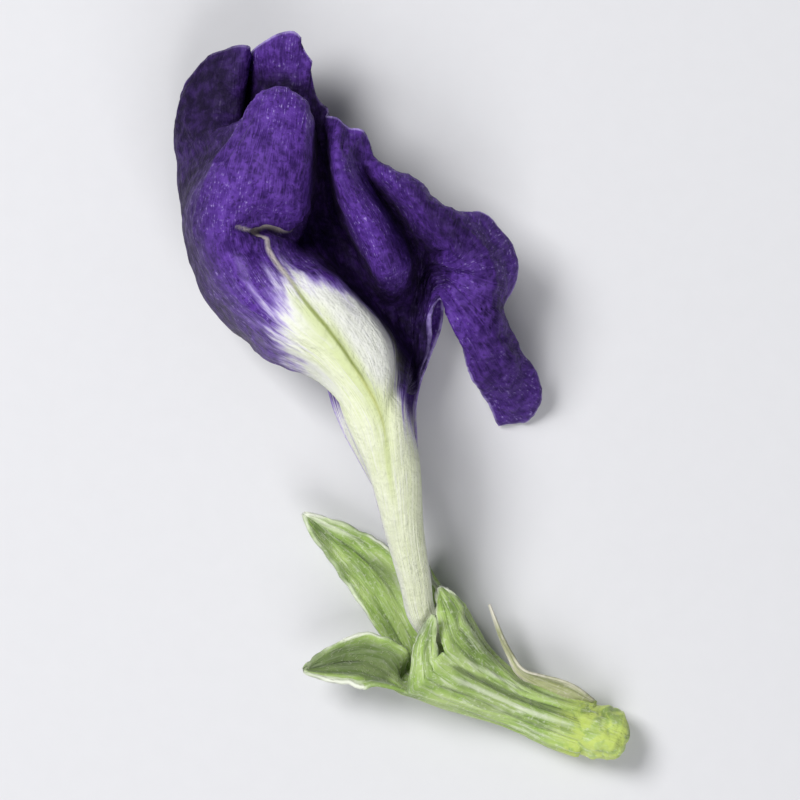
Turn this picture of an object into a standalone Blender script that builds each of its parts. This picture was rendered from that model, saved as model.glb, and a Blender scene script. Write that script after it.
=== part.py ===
"""A dried butterfly pea flower, picked whole and lying on a flat surface.

The flower is modelled in millimetres on a drawing plane seen from above: X runs to the right, Y away from
the viewer and Z up from the surface. The last step scales it to metres and puts the origin under the
middle of the flower. The calyx lies at the front right, the banner petal rises over it to the back left,
and the wings, the keel, the stamens and the pistil lie under the banner.
"""

import math
import random

import bmesh
import bpy
import numpy as np

MM = 0.001
PETAL = 0.6  # thickness of every petal and leaf, the least that these solids use
LOWEST = PETAL / 2  # a sheet's middle stays this high, so its underside lies flat where it meets the surface
FLOWER = "butterfly_pea_flower"
SEED = 5

UP = np.array([0.0, 0.0, 1.0])

# The cut end of the stalk, as (x, y, z, radius) along it.
PEDICEL = [
    (11.35, -18.77, 1.4, 1.1),
    (11.6, -18.87, 1.5, 1.4),
    (11.95, -19.0, 1.5, 1.4),
    (12.3, -19.13, 1.45, 0.9),
]
PEDICEL_SIDES = 12
KNOBS = 0.08  # how uneven the cut end is, as a share of its radius

# The calyx: a ribbed tube round an axis that runs from the stalk to the open mouth.
CALYX_AXIS = [
    (10.3, -18.4, 1.3), (8.5, -17.8, 1.45), (6.1, -16.85, 1.6), (3.7, -15.5, 2.1), (1.8, -14.1, 2.7),
]
CALYX_HALF_WIDTH = [1.4, 1.4, 1.4, 2.0, 2.8]
CALYX_HALF_HEIGHT = [1.15, 1.3, 1.45, 1.95, 2.4]
TUBE_STEPS = 3  # mesh rows between neighbouring points of the axis
RIBS = 10
RIB_HEIGHT = 0.03  # as a share of the tube's radius
FIRST_SEPAL = -25  # degrees round the mouth from its right-hand side
LOBE_COLUMNS = 6
LOBE_ROWS = 8
LOBE_TROUGH = 0.35  # how far a sepal's edges bend to its inner side, as a share of its half width
LOBE_ROOT = 0.6  # the share of a sepal's length over which it leaves the tube's curve
LOBE_BLUNTNESS = 0.65  # the power on its width's sine: a lower one gives a blunter tip

# The sepals in order round the mouth: the middle and the tip of each one's spine, its half width and the
# direction its inner face looks in.
SEPALS = {
    "right": ((1.9, -10.0, 1.7), (1.0, -7.7, 2.0), 1.1, (-0.45, -0.78, 0.42)),
    "upper_right": ((3.25, -11.6, 4.4), (3.15, -10.5, 4.4), 0.75, (-0.34, -0.59, -0.73)),
    "upper_left": ((1.4, -13.9, 5.3), (1.8, -12.1, 5.9), 0.55, (0.25, 0.1, -1.0)),
    "lower_left": ((-1.9, -14.8, 2.3), (-5.3, -15.1, 3.2), 1.7, (0.1, 0.3, 1.0)),
    "lower_right": ((-1.9, -10.1, 0.7), (-5.3, -6.5, 2.4), 1.95, (0.0, 0.0, 1.0)),
}

# The banner's claw: a half tube that opens downwards, as (x, y, z) of its axis, its radius, how far round
# its two sides reach, in degrees, and how far its right side then hangs straight down.
CLAW = [
    (3.9, -15.1, 2.5, 0.55, 80, 0.0),
    (2.6, -13.8, 3.1, 0.65, 85, 0.0),
    (1.25, -12.1, 3.9, 0.75, 90, 0.0),
    (0.8, -10.0, 5.0, 0.85, 90, 0.1),
    (0.2, -7.2, 6.1, 1.05, 90, 0.3),
    (-0.35, -3.9, 7.0, 1.4, 90, 1.0),
    (-1.4, -0.6, 7.7, 1.75, 90, 2.8),
]

# The banner's blade, as the fold lines that run out of the claw to the edge of the petal. Every line has
# the same stations: the blade's root, the throat, the crease, the belly, the crest, the tuck and the edge.
FOLD_LINES = {
    "left_edge": [
        (-3.6, 1.2, 5.6), (-5.2, 3.2, 2.8), (-6.2, 6.2, 0.8), (-7.0, 9.4, 0.1),
        (-8.2, 12.2, 0.1), (-9.1, 13.8, 0.5), (-9.7, 15.0, 1.3),
    ],
    "left_floor": [
        (-4.0, 1.0, 6.3), (-6.3, 2.7, 3.7), (-8.6, 5.7, 1.3), (-9.7, 9.2, 0.1),
        (-10.6, 12.3, 0.1), (-11.1, 14.3, 0.8), (-11.1, 16.3, 1.9),
    ],
    "left_under": [
        (-4.4, 0.9, 7.2), (-7.4, 2.3, 5.2), (-10.2, 5.0, 3.4), (-11.7, 8.8, 2.4),
        (-12.2, 12.4, 2.4), (-12.3, 14.8, 2.7), (-11.9, 17.3, 3.0),
    ],
    "left_face": [
        (-4.3, 1.6, 8.7), (-7.6, 3.6, 7.9), (-10.7, 7.1, 7.6), (-11.2, 10.7, 7.8),
        (-9.4, 13.8, 7.6), (-10.6, 15.0, 4.9), (-10.3, 18.9, 4.2),
    ],
    "lobe_rim": [
        (-4.1, 1.9, 9.3), (-7.3, 4.2, 9.0), (-10.1, 7.7, 9.1), (-10.2, 11.2, 9.6),
        (-8.4, 15.1, 8.7), (-9.2, 15.0, 5.2), (-8.9, 19.3, 5.1),
    ],
    "notch": [
        (-3.7, 2.1, 9.7), (-6.9, 4.8, 9.8), (-9.3, 8.2, 9.7), (-9.0, 11.6, 10.4),
        (-7.7, 16.0, 9.1), (-8.6, 15.2, 3.6), (-8.4, 18.2, 2.9),
    ],
    "midrib": [
        (-3.0, 2.4, 9.9), (-5.5, 5.6, 9.9), (-7.7, 8.9, 8.3), (-7.3, 11.9, 11.0),
        (-6.5, 16.7, 9.3), (-7.4, 15.7, 5.0), (-7.5, 19.4, 4.9),
    ],
    "hollow_rim": [
        (-0.9, 2.9, 8.8), (-3.6, 6.2, 9.0), (-5.9, 8.4, 6.3), (-5.4, 10.9, 9.9),
        (-5.0, 15.6, 9.0), (-6.0, 15.4, 5.6), (-5.6, 19.9, 6.2),
    ],
    "hollow": [
        (-0.6, 3.2, 6.2), (-3.0, 6.1, 5.4), (-4.6, 8.6, 4.6), (-4.7, 11.4, 4.8),
        (-4.7, 13.8, 4.9), (-4.9, 14.8, 4.7), (-4.7, 16.8, 5.0),
    ],
    "ridge_foot": [
        (-0.3, 3.0, 4.4), (-1.7, 5.5, 3.4), (-2.5, 7.9, 3.8), (-3.5, 10.2, 4.2),
        (-3.9, 12.2, 4.5), (-4.0, 13.7, 4.8), (-4.0, 15.6, 5.4),
    ],
    "ridge": [
        (0.1, 2.8, 3.4), (-0.8, 5.2, 3.6), (-1.2, 6.9, 7.7), (-2.1, 9.1, 8.8),
        (-3.2, 11.3, 8.9), (-3.6, 13.3, 8.4), (-3.4, 15.2, 7.3),
    ],
    "ridge_back": [
        (0.5, 2.5, 3.0), (0.0, 5.0, 3.1), (0.0, 7.2, 7.4), (-1.0, 9.5, 8.4),
        (-2.4, 11.6, 8.5), (-2.9, 13.2, 8.1), (-2.5, 14.8, 7.2),
    ],
    "groove": [
        (0.75, 2.2, 2.9), (0.6, 4.9, 2.6), (0.8, 7.5, 3.7), (-0.1, 9.7, 4.4),
        (-1.55, 11.6, 5.9), (-2.05, 12.8, 6.5), (-1.8, 14.3, 6.6),
    ],
    "flap_wall": [
        (1.1, 2.05, 2.8), (0.95, 4.8, 2.5), (1.4, 7.6, 3.4), (0.8, 9.6, 6.2),
        (-0.65, 11.85, 7.8), (-1.0, 12.75, 6.9), (-1.0, 12.9, 5.6),
    ],
    "flap_crest": [
        (1.45, 1.85, 2.8), (1.4, 4.6, 2.65), (2.0, 7.2, 3.9), (2.8, 8.0, 7.5),
        (2.7, 9.2, 8.0), (2.9, 9.9, 7.3), (2.9, 10.0, 6.1),
    ],
    "flap_bulge": [
        (1.75, 1.55, 2.9), (1.75, 4.35, 3.0), (2.25, 6.8, 4.2), (3.2, 6.9, 6.8),
        (4.7, 7.0, 7.0), (5.6, 7.1, 5.9), (6.2, 7.1, 4.2),
    ],
    "flap_waist": [
        (2.0, 1.25, 3.05), (1.95, 4.0, 3.4), (2.3, 6.3, 4.4), (3.15, 6.2, 5.9),
        (4.5, 4.5, 6.5), (5.6, 3.1, 5.2), (6.5, 2.6, 3.2),
    ],
    "flap_low": [
        (2.2, 0.95, 3.2), (2.05, 3.65, 3.8), (2.35, 5.6, 4.4), (3.15, 5.65, 5.4),
        (4.4, 3.9, 6.1), (5.8, 1.9, 4.6), (7.7, 0.5, 1.8),
    ],
    "right_edge": [
        (2.3, 0.3, 3.5), (2.1, 3.2, 4.1), (2.35, 4.8, 4.25), (3.1, 5.1, 4.9),
        (3.4, 3.2, 5.0), (4.1, 0.9, 3.6), (5.5, -1.5, 0.2),
    ],
}
CROWDING = 0.8  # under 1, the claw's fold lines stand closer together towards its right side
ACROSS_STEPS = 2  # mesh columns between neighbouring fold lines
ALONG_STEPS = 3  # mesh rows between neighbouring stations

# The small petals and the leaf under the calyx, as (x, y, z, half width, roll, curl) along each one. The
# roll turns its width from level to upright, the curl lifts its two edges, both in degrees.
SMALL_PETALS = {
    "wing_left": [
        (0.0, -11.0, 3.2, 0.3, 90, 0), (-0.5, -9.0, 4.2, 0.3, 90, 0), (-1.0, -6.5, 4.8, 0.35, 90, 0),
        (-1.75, -4.2, 4.8, 0.45, 80, 5), (-2.8, -1.8, 4.2, 0.6, 60, 10), (-3.4, 0.8, 3.0, 0.75, 35, 20),
        (-3.4, 3.4, 1.9, 1.15, 10, 30), (-3.3, 6.2, 1.8, 1.7, 0, 30), (-3.4, 8.6, 1.9, 1.4, 0, 20),
        (-3.3, 10.0, 2.2, 0.3, 0, 5),
    ],
    "wing_right": [
        (1.9, -10.4, 3.6, 0.3, 90, 0), (1.55, -8.6, 4.1, 0.3, 90, 0), (1.2, -6.5, 4.3, 0.35, 90, 0),
        (0.95, -4.2, 4.0, 0.4, 90, 0), (0.8, -2.2, 3.0, 0.5, 75, 5), (0.5, -0.2, 1.9, 0.7, 45, 10),
        (0.5, 2.0, 1.3, 1.1, 10, 20), (0.8, 4.4, 1.2, 1.6, 0, 20), (0.9, 6.6, 1.3, 1.2, 0, 15),
        (0.9, 8.0, 1.6, 0.3, 0, 5),
    ],
    "keel": [
        (0.7, -9.8, 2.9, 0.4, 0, 10), (0.15, -7.2, 3.6, 0.4, 0, 20), (-0.4, -4.6, 3.6, 0.5, 0, 50),
        (-0.95, -2.4, 3.2, 0.85, 0, 110), (-1.35, -0.4, 2.8, 1.05, 0, 140), (-1.5, 1.0, 2.8, 0.9, 0, 110),
        (-1.6, 2.2, 3.1, 0.3, 0, 30),
    ],
    "bracteole": [
        (10.8, -16.25, 1.9, 0.35, 90, 0), (9.3, -15.5, 2.0, 0.75, 85, 10), (7.7, -15.0, 2.0, 0.65, 85, 10),
        (6.6, -14.15, 2.0, 0.4, 80, 5), (5.7, -12.8, 2.1, 0.25, 80, 0), (4.9, -11.5, 2.3, 0.15, 80, 0),
    ],
}
SMALL_COLUMNS = 6
SMALL_STEPS = 3

# The column of nine joined stamens, the single one over it and the tip of the pistil, as (x, y, z, radius).
STAMENS = [
    (2.9, -14.0, 2.0, 0.3), (1.4, -12.1, 3.0, 0.45), (0.8, -10.0, 4.0, 0.45), (0.2, -7.2, 4.9, 0.45),
    (-0.35, -3.9, 5.4, 0.45), (-1.1, -1.6, 5.3, 0.45), (-1.6, 0.2, 5.0, 0.5), (-1.85, 1.2, 4.9, 0.85),
    (-2.0, 2.0, 4.8, 0.8), (-2.15, 2.7, 4.75, 0.25),
]
FREE_STAMEN = [
    (0.4, -8.2, 5.6, 0.2), (0.2, -7.2, 5.9, 0.25), (-0.4, -3.9, 6.4, 0.25),
    (-1.15, -1.6, 6.35, 0.25), (-1.6, 0.2, 6.25, 0.25), (-1.8, 0.9, 6.35, 0.45), (-1.95, 1.5, 6.3, 0.2),
]
PISTIL = [(-2.3, 3.2, 4.75, 0.25), (-2.8, 4.3, 4.8, 0.3), (-3.5, 5.3, 5.0, 0.35), (-4.0, 5.9, 5.2, 0.2)]
ROD_SIDES = 10
ROD_STEPS = 2


def clear_scene():
    """Removes every object, so the script can be run again in an open file."""
    for obj in list(bpy.data.objects):
        bpy.data.objects.remove(obj)


def material(name, colour, roughness):
    """A plain matte material for one kind of plant tissue."""
    made = bpy.data.materials.new(name)
    made.use_nodes = True
    shader = made.node_tree.nodes["Principled BSDF"]
    shader.inputs["Base Color"].default_value = (*colour, 1.0)
    shader.inputs["Roughness"].default_value = roughness
    shader.inputs["Metallic"].default_value = 0.0
    return made


def unit(vectors):
    """The same vectors at length one."""
    vectors = np.asarray(vectors, float)
    return vectors / np.linalg.norm(vectors, axis=-1, keepdims=True)


def spline(knots, each):
    """A smooth curve through the knots, with so many steps between neighbours."""
    knots = np.asarray(knots, float)
    last = len(knots) - 1
    at = np.linspace(0, last, last * each + 1)
    start = np.minimum(at.astype(int), last - 1)
    t = (at - start).reshape(-1, *([1] * (knots.ndim - 1)))
    before = 2 * knots[0] - knots[1]
    after = 2 * knots[-1] - knots[-2]
    padded = np.concatenate([[before], knots, [after]])
    p0, p1, p2, p3 = (padded[start + n] for n in range(4))
    return 0.5 * (
        2 * p1
        + (p2 - p0) * t
        + (2 * p0 - 5 * p1 + 4 * p2 - p3) * t**2
        + (3 * p1 - p0 - 3 * p2 + p3) * t**3
    )


def frames(axis):
    """The heading, the side and the top direction at each point of an axis."""
    heading = unit(np.gradient(axis, axis=0))
    side = unit(np.cross(heading, UP))
    return heading, side, np.cross(side, heading)


def add_object(name, mesh, finish):
    """An object of the flower from a finished bmesh."""
    data = bpy.data.meshes.new(name)
    mesh.to_mesh(data)
    mesh.free()
    data.materials.append(finish)
    obj = bpy.data.objects.new(name, data)
    bpy.data.collections[FLOWER].objects.link(obj)
    return obj


def add_sheet(name, mesh, finish):
    """An object from an open bmesh surface, thickened evenly to both sides.

    The surface is kept off the ground by half its thickness and is cut into triangles before it is
    thickened, so that both faces have the same ones.
    """
    for vertex in mesh.verts:
        vertex.co.z = max(vertex.co.z, LOWEST * MM)
    obj = add_object(name, mesh, finish)
    obj.modifiers.new("triangles", "TRIANGULATE").quad_method = "FIXED"
    wall = obj.modifiers.new("wall", "SOLIDIFY")
    wall.thickness = PETAL * MM
    wall.offset = 0


def grid_of_vertices(mesh, rows):
    """Vertices of a bmesh at rows of points in millimetres."""
    return [[mesh.verts.new(point * MM) for point in row] for row in rows]


def bridge(mesh, low, high, closed):
    """Faces between two neighbouring rows of vertices."""
    for i in range(len(low) if closed else len(low) - 1):
        k = (i + 1) % len(low)
        mesh.faces.new((low[i], low[k], high[k], high[i]))


def add_petal(name, rows, finish):
    """A petal from the grid of points that its middle surface runs through."""
    mesh = bmesh.new()
    vertices = grid_of_vertices(mesh, rows)
    for low, high in zip(vertices, vertices[1:]):
        bridge(mesh, low, high, closed=False)
    add_sheet(name, mesh, finish)


def claw_rows(lines):
    """The claw's cross-sections, with a point for each of the fold lines.

    Each one is an arc over the axis, and a straight side that hangs from its right end.
    """
    axis = np.array([row[:3] for row in CLAW])
    _, side, top = frames(axis)
    rows = []
    for centre, across, over, (*_, radius, reach, hang) in zip(axis, side, top, CLAW):
        arc = 2 * radius * math.radians(reach)
        run = (np.linspace(0, 1, lines)[:, None] ** CROWDING) * (arc + hang)
        angle = np.minimum(run, arc) / radius - math.radians(reach)
        drop = np.maximum(run - arc, 0)
        rows.append(centre + radius * (np.sin(angle) * across + np.cos(angle) * over) - drop * UP)
    return np.array(rows)


def banner_rows():
    """The banner petal as one crumpled sheet, lofted over its fold lines."""
    blade = np.array(list(FOLD_LINES.values())).transpose(1, 0, 2)
    net = np.concatenate([claw_rows(len(FOLD_LINES)), blade])
    along = spline(net, ALONG_STEPS)
    return spline(along.transpose(1, 0, 2), ACROSS_STEPS).transpose(1, 0, 2)


def small_petal_rows(stations):
    """A narrow petal: an arc of its width across every point of its spine."""
    stations = spline(stations, SMALL_STEPS)
    spine = stations[:, :3]
    half_width = stations[:, 3, None, None]
    roll = np.radians(stations[:, 4, None])
    curl = np.radians(np.maximum(stations[:, 5, None, None], 1)) / 2
    _, side, top = frames(spine)
    across = np.cos(roll) * side + np.sin(roll) * top
    over = np.cos(roll) * top - np.sin(roll) * side
    place = np.linspace(-1, 1, SMALL_COLUMNS + 1)[None, :, None]
    radius = half_width / curl
    return (
        spine[:, None]
        + radius * np.sin(curl * place) * across[:, None]
        + radius * (1 - np.cos(curl * place)) * over[:, None]
    )


def add_rod(name, stations, sides, finish, uneven=0.0):
    """A round solid along its stations, closed at both ends."""
    chance = random.Random(SEED)
    axis = stations[:, :3]
    _, side, top = frames(axis)
    angle = np.linspace(0, 2 * math.pi, sides, endpoint=False)[None, :, None]
    radius = stations[:, 3, None, None] * np.ones_like(angle)
    radius = radius * [[[1 + chance.uniform(-uneven, uneven)] for _ in range(sides)] for _ in stations]
    ring = radius * (np.cos(angle) * side[:, None] + np.sin(angle) * top[:, None])
    points = axis[:, None] + ring
    points[..., 2] = np.maximum(points[..., 2], 0)
    mesh = bmesh.new()
    vertices = grid_of_vertices(mesh, points)
    for low, high in zip(vertices, vertices[1:]):
        bridge(mesh, low, high, closed=True)
    mesh.faces.new(vertices[0])
    mesh.faces.new(vertices[-1])
    bmesh.ops.recalc_face_normals(mesh, faces=mesh.faces)
    add_object(name, mesh, finish)


def add_calyx(finish):
    """The calyx: a ribbed tube whose mouth runs out into five pointed sepals."""
    axis = spline(CALYX_AXIS, TUBE_STEPS)
    heading, side, top = frames(axis)
    wide = spline(CALYX_HALF_WIDTH, TUBE_STEPS)[:, None, None]
    high = spline(CALYX_HALF_HEIGHT, TUBE_STEPS)[:, None, None]
    columns = len(SEPALS) * LOBE_COLUMNS
    first = math.radians(FIRST_SEPAL) - math.pi / len(SEPALS)
    angle = (first + 2 * math.pi * np.arange(columns) / columns)[None, :, None]
    ribbed = 1 + RIB_HEIGHT * np.cos(RIBS * angle)
    ring = wide * np.cos(angle) * side[:, None] + high * np.sin(angle) * top[:, None]
    tube = axis[:, None] + ribbed * ring
    mesh = bmesh.new()
    vertices = grid_of_vertices(mesh, tube)
    for low, upper in zip(vertices, vertices[1:]):
        bridge(mesh, low, upper, closed=True)
    base = mesh.verts.new((axis[0] - LOWEST * heading[0]) * MM)
    for i in range(columns):
        mesh.faces.new((vertices[0][(i + 1) % columns], vertices[0][i], base))
    for number, shape in enumerate(SEPALS.values()):
        own = [(number * LOBE_COLUMNS + n) % columns for n in range(LOBE_COLUMNS + 1)]
        rows = sepal_rows(tube[-1][own], *shape)
        previous = [vertices[-1][i] for i in own]
        for row in rows[1:-1]:
            fresh = [mesh.verts.new(point * MM) for point in row]
            bridge(mesh, previous, fresh, closed=False)
            previous = fresh
        tip = mesh.verts.new(rows[-1][0] * MM)
        for left, right in zip(previous, previous[1:]):
            mesh.faces.new((left, right, tip))
    add_sheet("calyx", mesh, finish)


def sepal_rows(rim, middle, tip, half_width, facing):
    """Rows of one sepal, from its arc of the mouth's rim to its tip.

    The spine is a curve from the rim over the middle point to the tip. Across it the sepal is a shallow
    trough that keeps the tube's curve at the root and narrows to a point.
    """
    root = rim[len(rim) // 2]
    spine = spline([root, middle, tip], LOBE_ROWS // 2)
    along = np.linspace(0, 1, len(spine))
    run = unit(np.gradient(spine, axis=0))
    facing = np.array(facing)
    inner = unit(facing - (run @ facing)[:, None] * run)
    across = np.cross(run, inner)
    place = np.linspace(-1, 1, len(rim))[:, None]
    width = (half_width * np.sin(np.pi * (0.5 + 0.5 * along) ** 1.3) ** LOBE_BLUNTNESS)[:, None, None]
    leaf = spine[:, None] + width * (place * across[:, None] + LOBE_TROUGH * place**2 * inner[:, None])
    rooted = rim + (spine - root)[:, None]
    blend = np.clip(along / LOBE_ROOT, 0, 1)[:, None, None]
    blend = blend * blend * (3 - 2 * blend)
    rows = rooted * (1 - blend) + leaf * blend
    rows[-1] = tip
    return rows


def centre_on_origin():
    """Moves the flower so that the origin lies on the surface, under the middle of its box."""
    bpy.context.view_layer.update()
    depsgraph = bpy.context.evaluated_depsgraph_get()
    objects = bpy.data.collections[FLOWER].objects
    corners = np.array([corner for obj in objects for corner in obj.evaluated_get(depsgraph).bound_box])
    middle = (corners.min(axis=0) + corners.max(axis=0)) / 2
    for obj in objects:
        for vertex in obj.data.vertices:
            vertex.co.x -= middle[0]
            vertex.co.y -= middle[1]


def main():
    """Builds the flower's pieces in order."""
    clear_scene()
    flower = bpy.data.collections.new(FLOWER)
    bpy.context.scene.collection.children.link(flower)
    violet = material("violet_petal", (0.075, 0.03, 0.21), 0.6)
    green = material("green_calyx", (0.30, 0.42, 0.15), 0.7)
    cream = material("cream_stamen", (0.62, 0.60, 0.38), 0.6)
    add_rod("pedicel", np.array(PEDICEL), PEDICEL_SIDES, green, KNOBS)
    add_calyx(green)
    add_petal("bracteole", small_petal_rows(SMALL_PETALS["bracteole"]), green)
    add_petal("banner", banner_rows(), violet)
    for name in ("wing_left", "wing_right", "keel"):
        add_petal(name, small_petal_rows(SMALL_PETALS[name]), violet)
    add_rod("stamens", spline(STAMENS, ROD_STEPS), ROD_SIDES, cream)
    add_rod("free_stamen", spline(FREE_STAMEN, ROD_STEPS), ROD_SIDES, cream)
    add_rod("pistil", spline(PISTIL, ROD_STEPS), ROD_SIDES, green)
    centre_on_origin()


main()
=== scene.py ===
"""Looks of a dried butterfly pea flower that lies on a flat surface.

Every petal, leaf and stalk is worked out as a surface in millimetres on the drawing plane of the flower,
seen from above: X runs to the right, Y away from the viewer and Z up from the surface. Thin tissue is a
middle surface with a wall round it, and everything else is a closed round form. The pieces stand for the
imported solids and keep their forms, with the folds, veins, waved margins, anthers and hairs that the solids
leave out.
"""

import logging
import math
from dataclasses import dataclass
from enum import Enum

import bpy
import numpy as np
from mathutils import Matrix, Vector

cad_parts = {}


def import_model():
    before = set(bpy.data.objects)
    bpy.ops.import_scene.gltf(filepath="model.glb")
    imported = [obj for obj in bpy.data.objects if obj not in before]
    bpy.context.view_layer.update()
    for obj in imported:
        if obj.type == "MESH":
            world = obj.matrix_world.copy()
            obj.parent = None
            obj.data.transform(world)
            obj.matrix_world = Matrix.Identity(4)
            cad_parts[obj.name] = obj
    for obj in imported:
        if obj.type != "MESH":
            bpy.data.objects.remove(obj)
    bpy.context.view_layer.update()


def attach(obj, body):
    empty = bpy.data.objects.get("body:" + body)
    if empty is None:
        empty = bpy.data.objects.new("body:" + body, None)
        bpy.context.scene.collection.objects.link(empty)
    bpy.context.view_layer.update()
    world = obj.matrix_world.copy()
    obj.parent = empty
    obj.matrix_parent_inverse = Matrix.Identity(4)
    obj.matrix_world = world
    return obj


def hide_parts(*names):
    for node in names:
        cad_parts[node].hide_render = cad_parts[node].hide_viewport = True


log = logging.getLogger("butterfly_pea_flower")

Array = np.ndarray
Point = tuple[float, float, float]
Colour = tuple[float, float, float]
Socket = bpy.types.NodeSocket

MM = 0.001
DRAWING_TO_FRAME = np.array([0.0, 0.193, 0.0])  # the drawing's place in the frame, in millimetres
UP = np.array([0.0, 0.0, 1.0])
TURN = 2 * math.pi
FAR = 9.0  # how far away counts as nowhere near, in millimetres
FOLD_PLACE = 0.10  # the fold of a sepal, as a place across it from -1 to 1
LEAST = 1e-12  # what a vector's length counts as at least
SEED = 5
BODY = "root"


class Slot(Enum):
    """The record's material slots."""

    STALK = "stalk"
    CALYX = "calyx"
    PETAL = "petal"
    KEEL = "keel"
    STAMEN = "stamen"
    PISTIL = "pistil"


# Shapes as arrays.


def unit(vectors: Array) -> Array:
    """The same vectors at length one."""
    vectors = np.asarray(vectors, float)
    return vectors / np.maximum(np.linalg.norm(vectors, axis=-1, keepdims=True), LEAST)


def vectors(*axes: Array | float) -> Array:
    """Vectors from arrays of their coordinates."""
    return np.stack(np.broadcast_arrays(*axes), axis=-1)


def rise(low: float | Array, high: float | Array, value: Array) -> Array:
    """A smooth step from 0 at low to 1 at high: three times the square less twice the cube of the share."""
    share = np.clip((value - low) / (high - low), 0, 1)
    return share * share * (3 - 2 * share)


def bell(value: Array, width: float | Array) -> Array:
    """A bell curve, 1 at zero: e to the minus of the square of value over width."""
    return np.exp(-((value / width) ** 2))


def spline(knots: Array | list, at: Array) -> Array:
    """A smooth curve: between knots the cubic whose slope at each is half the way between its neighbours.

    Args:
        knots: values along the first axis.
        at: places along them, whole at the knots.

    Returns:
        The curve's values there.
    """
    knots = np.asarray(knots, float)
    start = np.clip(at.astype(int), 0, len(knots) - 2)
    t = (at - start).reshape(-1, *([1] * (knots.ndim - 1)))
    padded = np.concatenate([[2 * knots[0] - knots[1]], knots, [2 * knots[-1] - knots[-2]]])
    p0, p1, p2, p3 = (padded[start + n] for n in range(4))
    curve = (p2 - p0) * t + (2 * p0 - 5 * p1 + 4 * p2 - p3) * t**2 + (3 * p1 - p0 - 3 * p2 + p3) * t**3
    return p1 + 0.5 * curve


def places(knots: int, steps: int) -> Array:
    """Even places along so many knots, with so many steps between neighbours."""
    return np.linspace(0, knots - 1, (knots - 1) * steps + 1)


def smooth(knots: Array | list, steps: int) -> Array:
    """The smooth curve through knots at even places, with so many steps between neighbours."""
    return spline(knots, places(len(knots), steps))


def travelled(points: Array, axis: int) -> Array:
    """The distance gone along one axis of a grid of points, in millimetres."""
    step = np.linalg.norm(np.diff(points, axis=axis), axis=-1)
    return np.insert(np.cumsum(step, axis=axis), 0, 0, axis=axis)


def grid_normals(points: Array) -> Array:
    """The normals of a grid of points: across its columns times along its rows."""
    return unit(np.cross(np.gradient(points, axis=1), np.gradient(points, axis=0)))


def frames(axis: Array) -> tuple[Array, Array, Array]:
    """The heading, the side and the top direction at each point of an axis."""
    heading = unit(np.gradient(axis, axis=0))
    side = unit(np.cross(heading, UP))
    return heading, side, np.cross(side, heading)


def beside(points: Array, line: Array) -> Array:
    """How far points are from a line, as the least distance to its own points."""
    flat = points.reshape(-1, points.shape[-1])
    best = np.full(len(flat), np.inf)
    for spot in line:
        best = np.minimum(best, ((flat - spot) ** 2).sum(axis=1))
    return np.sqrt(best).reshape(points.shape[:-1])


# The depth under the cover is painted as shade into the petal's hollows.
def hollows(points: Array, cell: float = 0.3, reach: int = 4, depth: float = 3.4) -> Array:
    """How deep points lie in a hollow, from 0 on the heights to 1: their depth under a smooth cover.

    The cover is the highest point within two cells of each cell of a plan grid, smoothed by a bell curve.

    Args:
        points: a grid of points.
        cell: the plan grid's step.
        reach: the bell curve's half width in cells.
        depth: the depth that counts as 1.

    Returns:
        The shares, one a point.
    """
    flat = points.reshape(-1, 3)
    spot = ((flat[:, :2] - flat[:, :2].min(axis=0)) / cell).astype(int) + 3 * reach
    cover = np.zeros(spot.max(axis=0) + 3 * reach + 1)
    np.maximum.at(cover, (spot[:, 0], spot[:, 1]), flat[:, 2])
    curve = bell(np.arange(-2 * reach, 2 * reach + 1), reach)
    curve /= curve.sum()
    for axis in (0, 1):
        cover = np.max([np.roll(cover, n, axis) for n in range(-2, 3)], axis=0)
    for axis in (0, 1):
        cover = sum(np.roll(cover, n - 2 * reach, axis) * share for n, share in enumerate(curve))
    return np.clip((cover[spot[:, 0], spot[:, 1]] - flat[:, 2]) / depth, 0, 1).reshape(points.shape[:-1])


class Noise:
    """Smooth gradient noise in space, the same on every run."""

    def __init__(self, seed: int) -> None:
        """Args: seed, the number that the noise grows from."""
        chance = np.random.default_rng(seed)
        self.order = chance.permutation(256)
        self.slopes = unit(chance.normal(size=(256, 3)))

    def __call__(self, *axes: Array | float) -> Array:
        """The noise at points: the mean of random slopes at a cell's corners, by a curve level at its ends.

        Args:
            axes: one to three coordinates of the points.

        Returns:
            Values of about -0.7 to 0.7.
        """
        points = vectors(*axes, *([np.zeros(1)] * (3 - len(axes))))
        cell = np.floor(points).astype(int)
        t = points - cell
        ease = t**3 * (t * (t * 6 - 15) + 10)
        total = np.zeros(points.shape[:-1])
        for corner in np.ndindex(2, 2, 2):
            x, y, z = np.moveaxis((cell + corner) & 255, -1, 0)
            slope = self.slopes[self.order[(self.order[(self.order[x] + y) & 255] + z) & 255]]
            weight = np.prod(np.where(np.array(corner) == 1, ease, 1 - ease), axis=-1)
            total += weight * ((t - corner) * slope).sum(axis=-1)
        return total

    def layered(self, *axes: Array | float, layers: int = 3) -> Array:
        """The noise with finer layers on top, each twice as fine and half as strong."""
        return sum(self(*(axis * 2**n + 17.3 * n for axis in axes)) / 2**n for n in range(layers))

    def creased(self, *axes: Array | float, layers: int = 3) -> Array:
        """Layers of one less twice the noise's size, squared: narrow crests between rounded dips."""
        return sum((1 - 2 * np.abs(self(*(axis * 2**n + 9.1 * n for axis in axes)))) ** 2 / 2**n
                   for n in range(layers)) / 2


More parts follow.
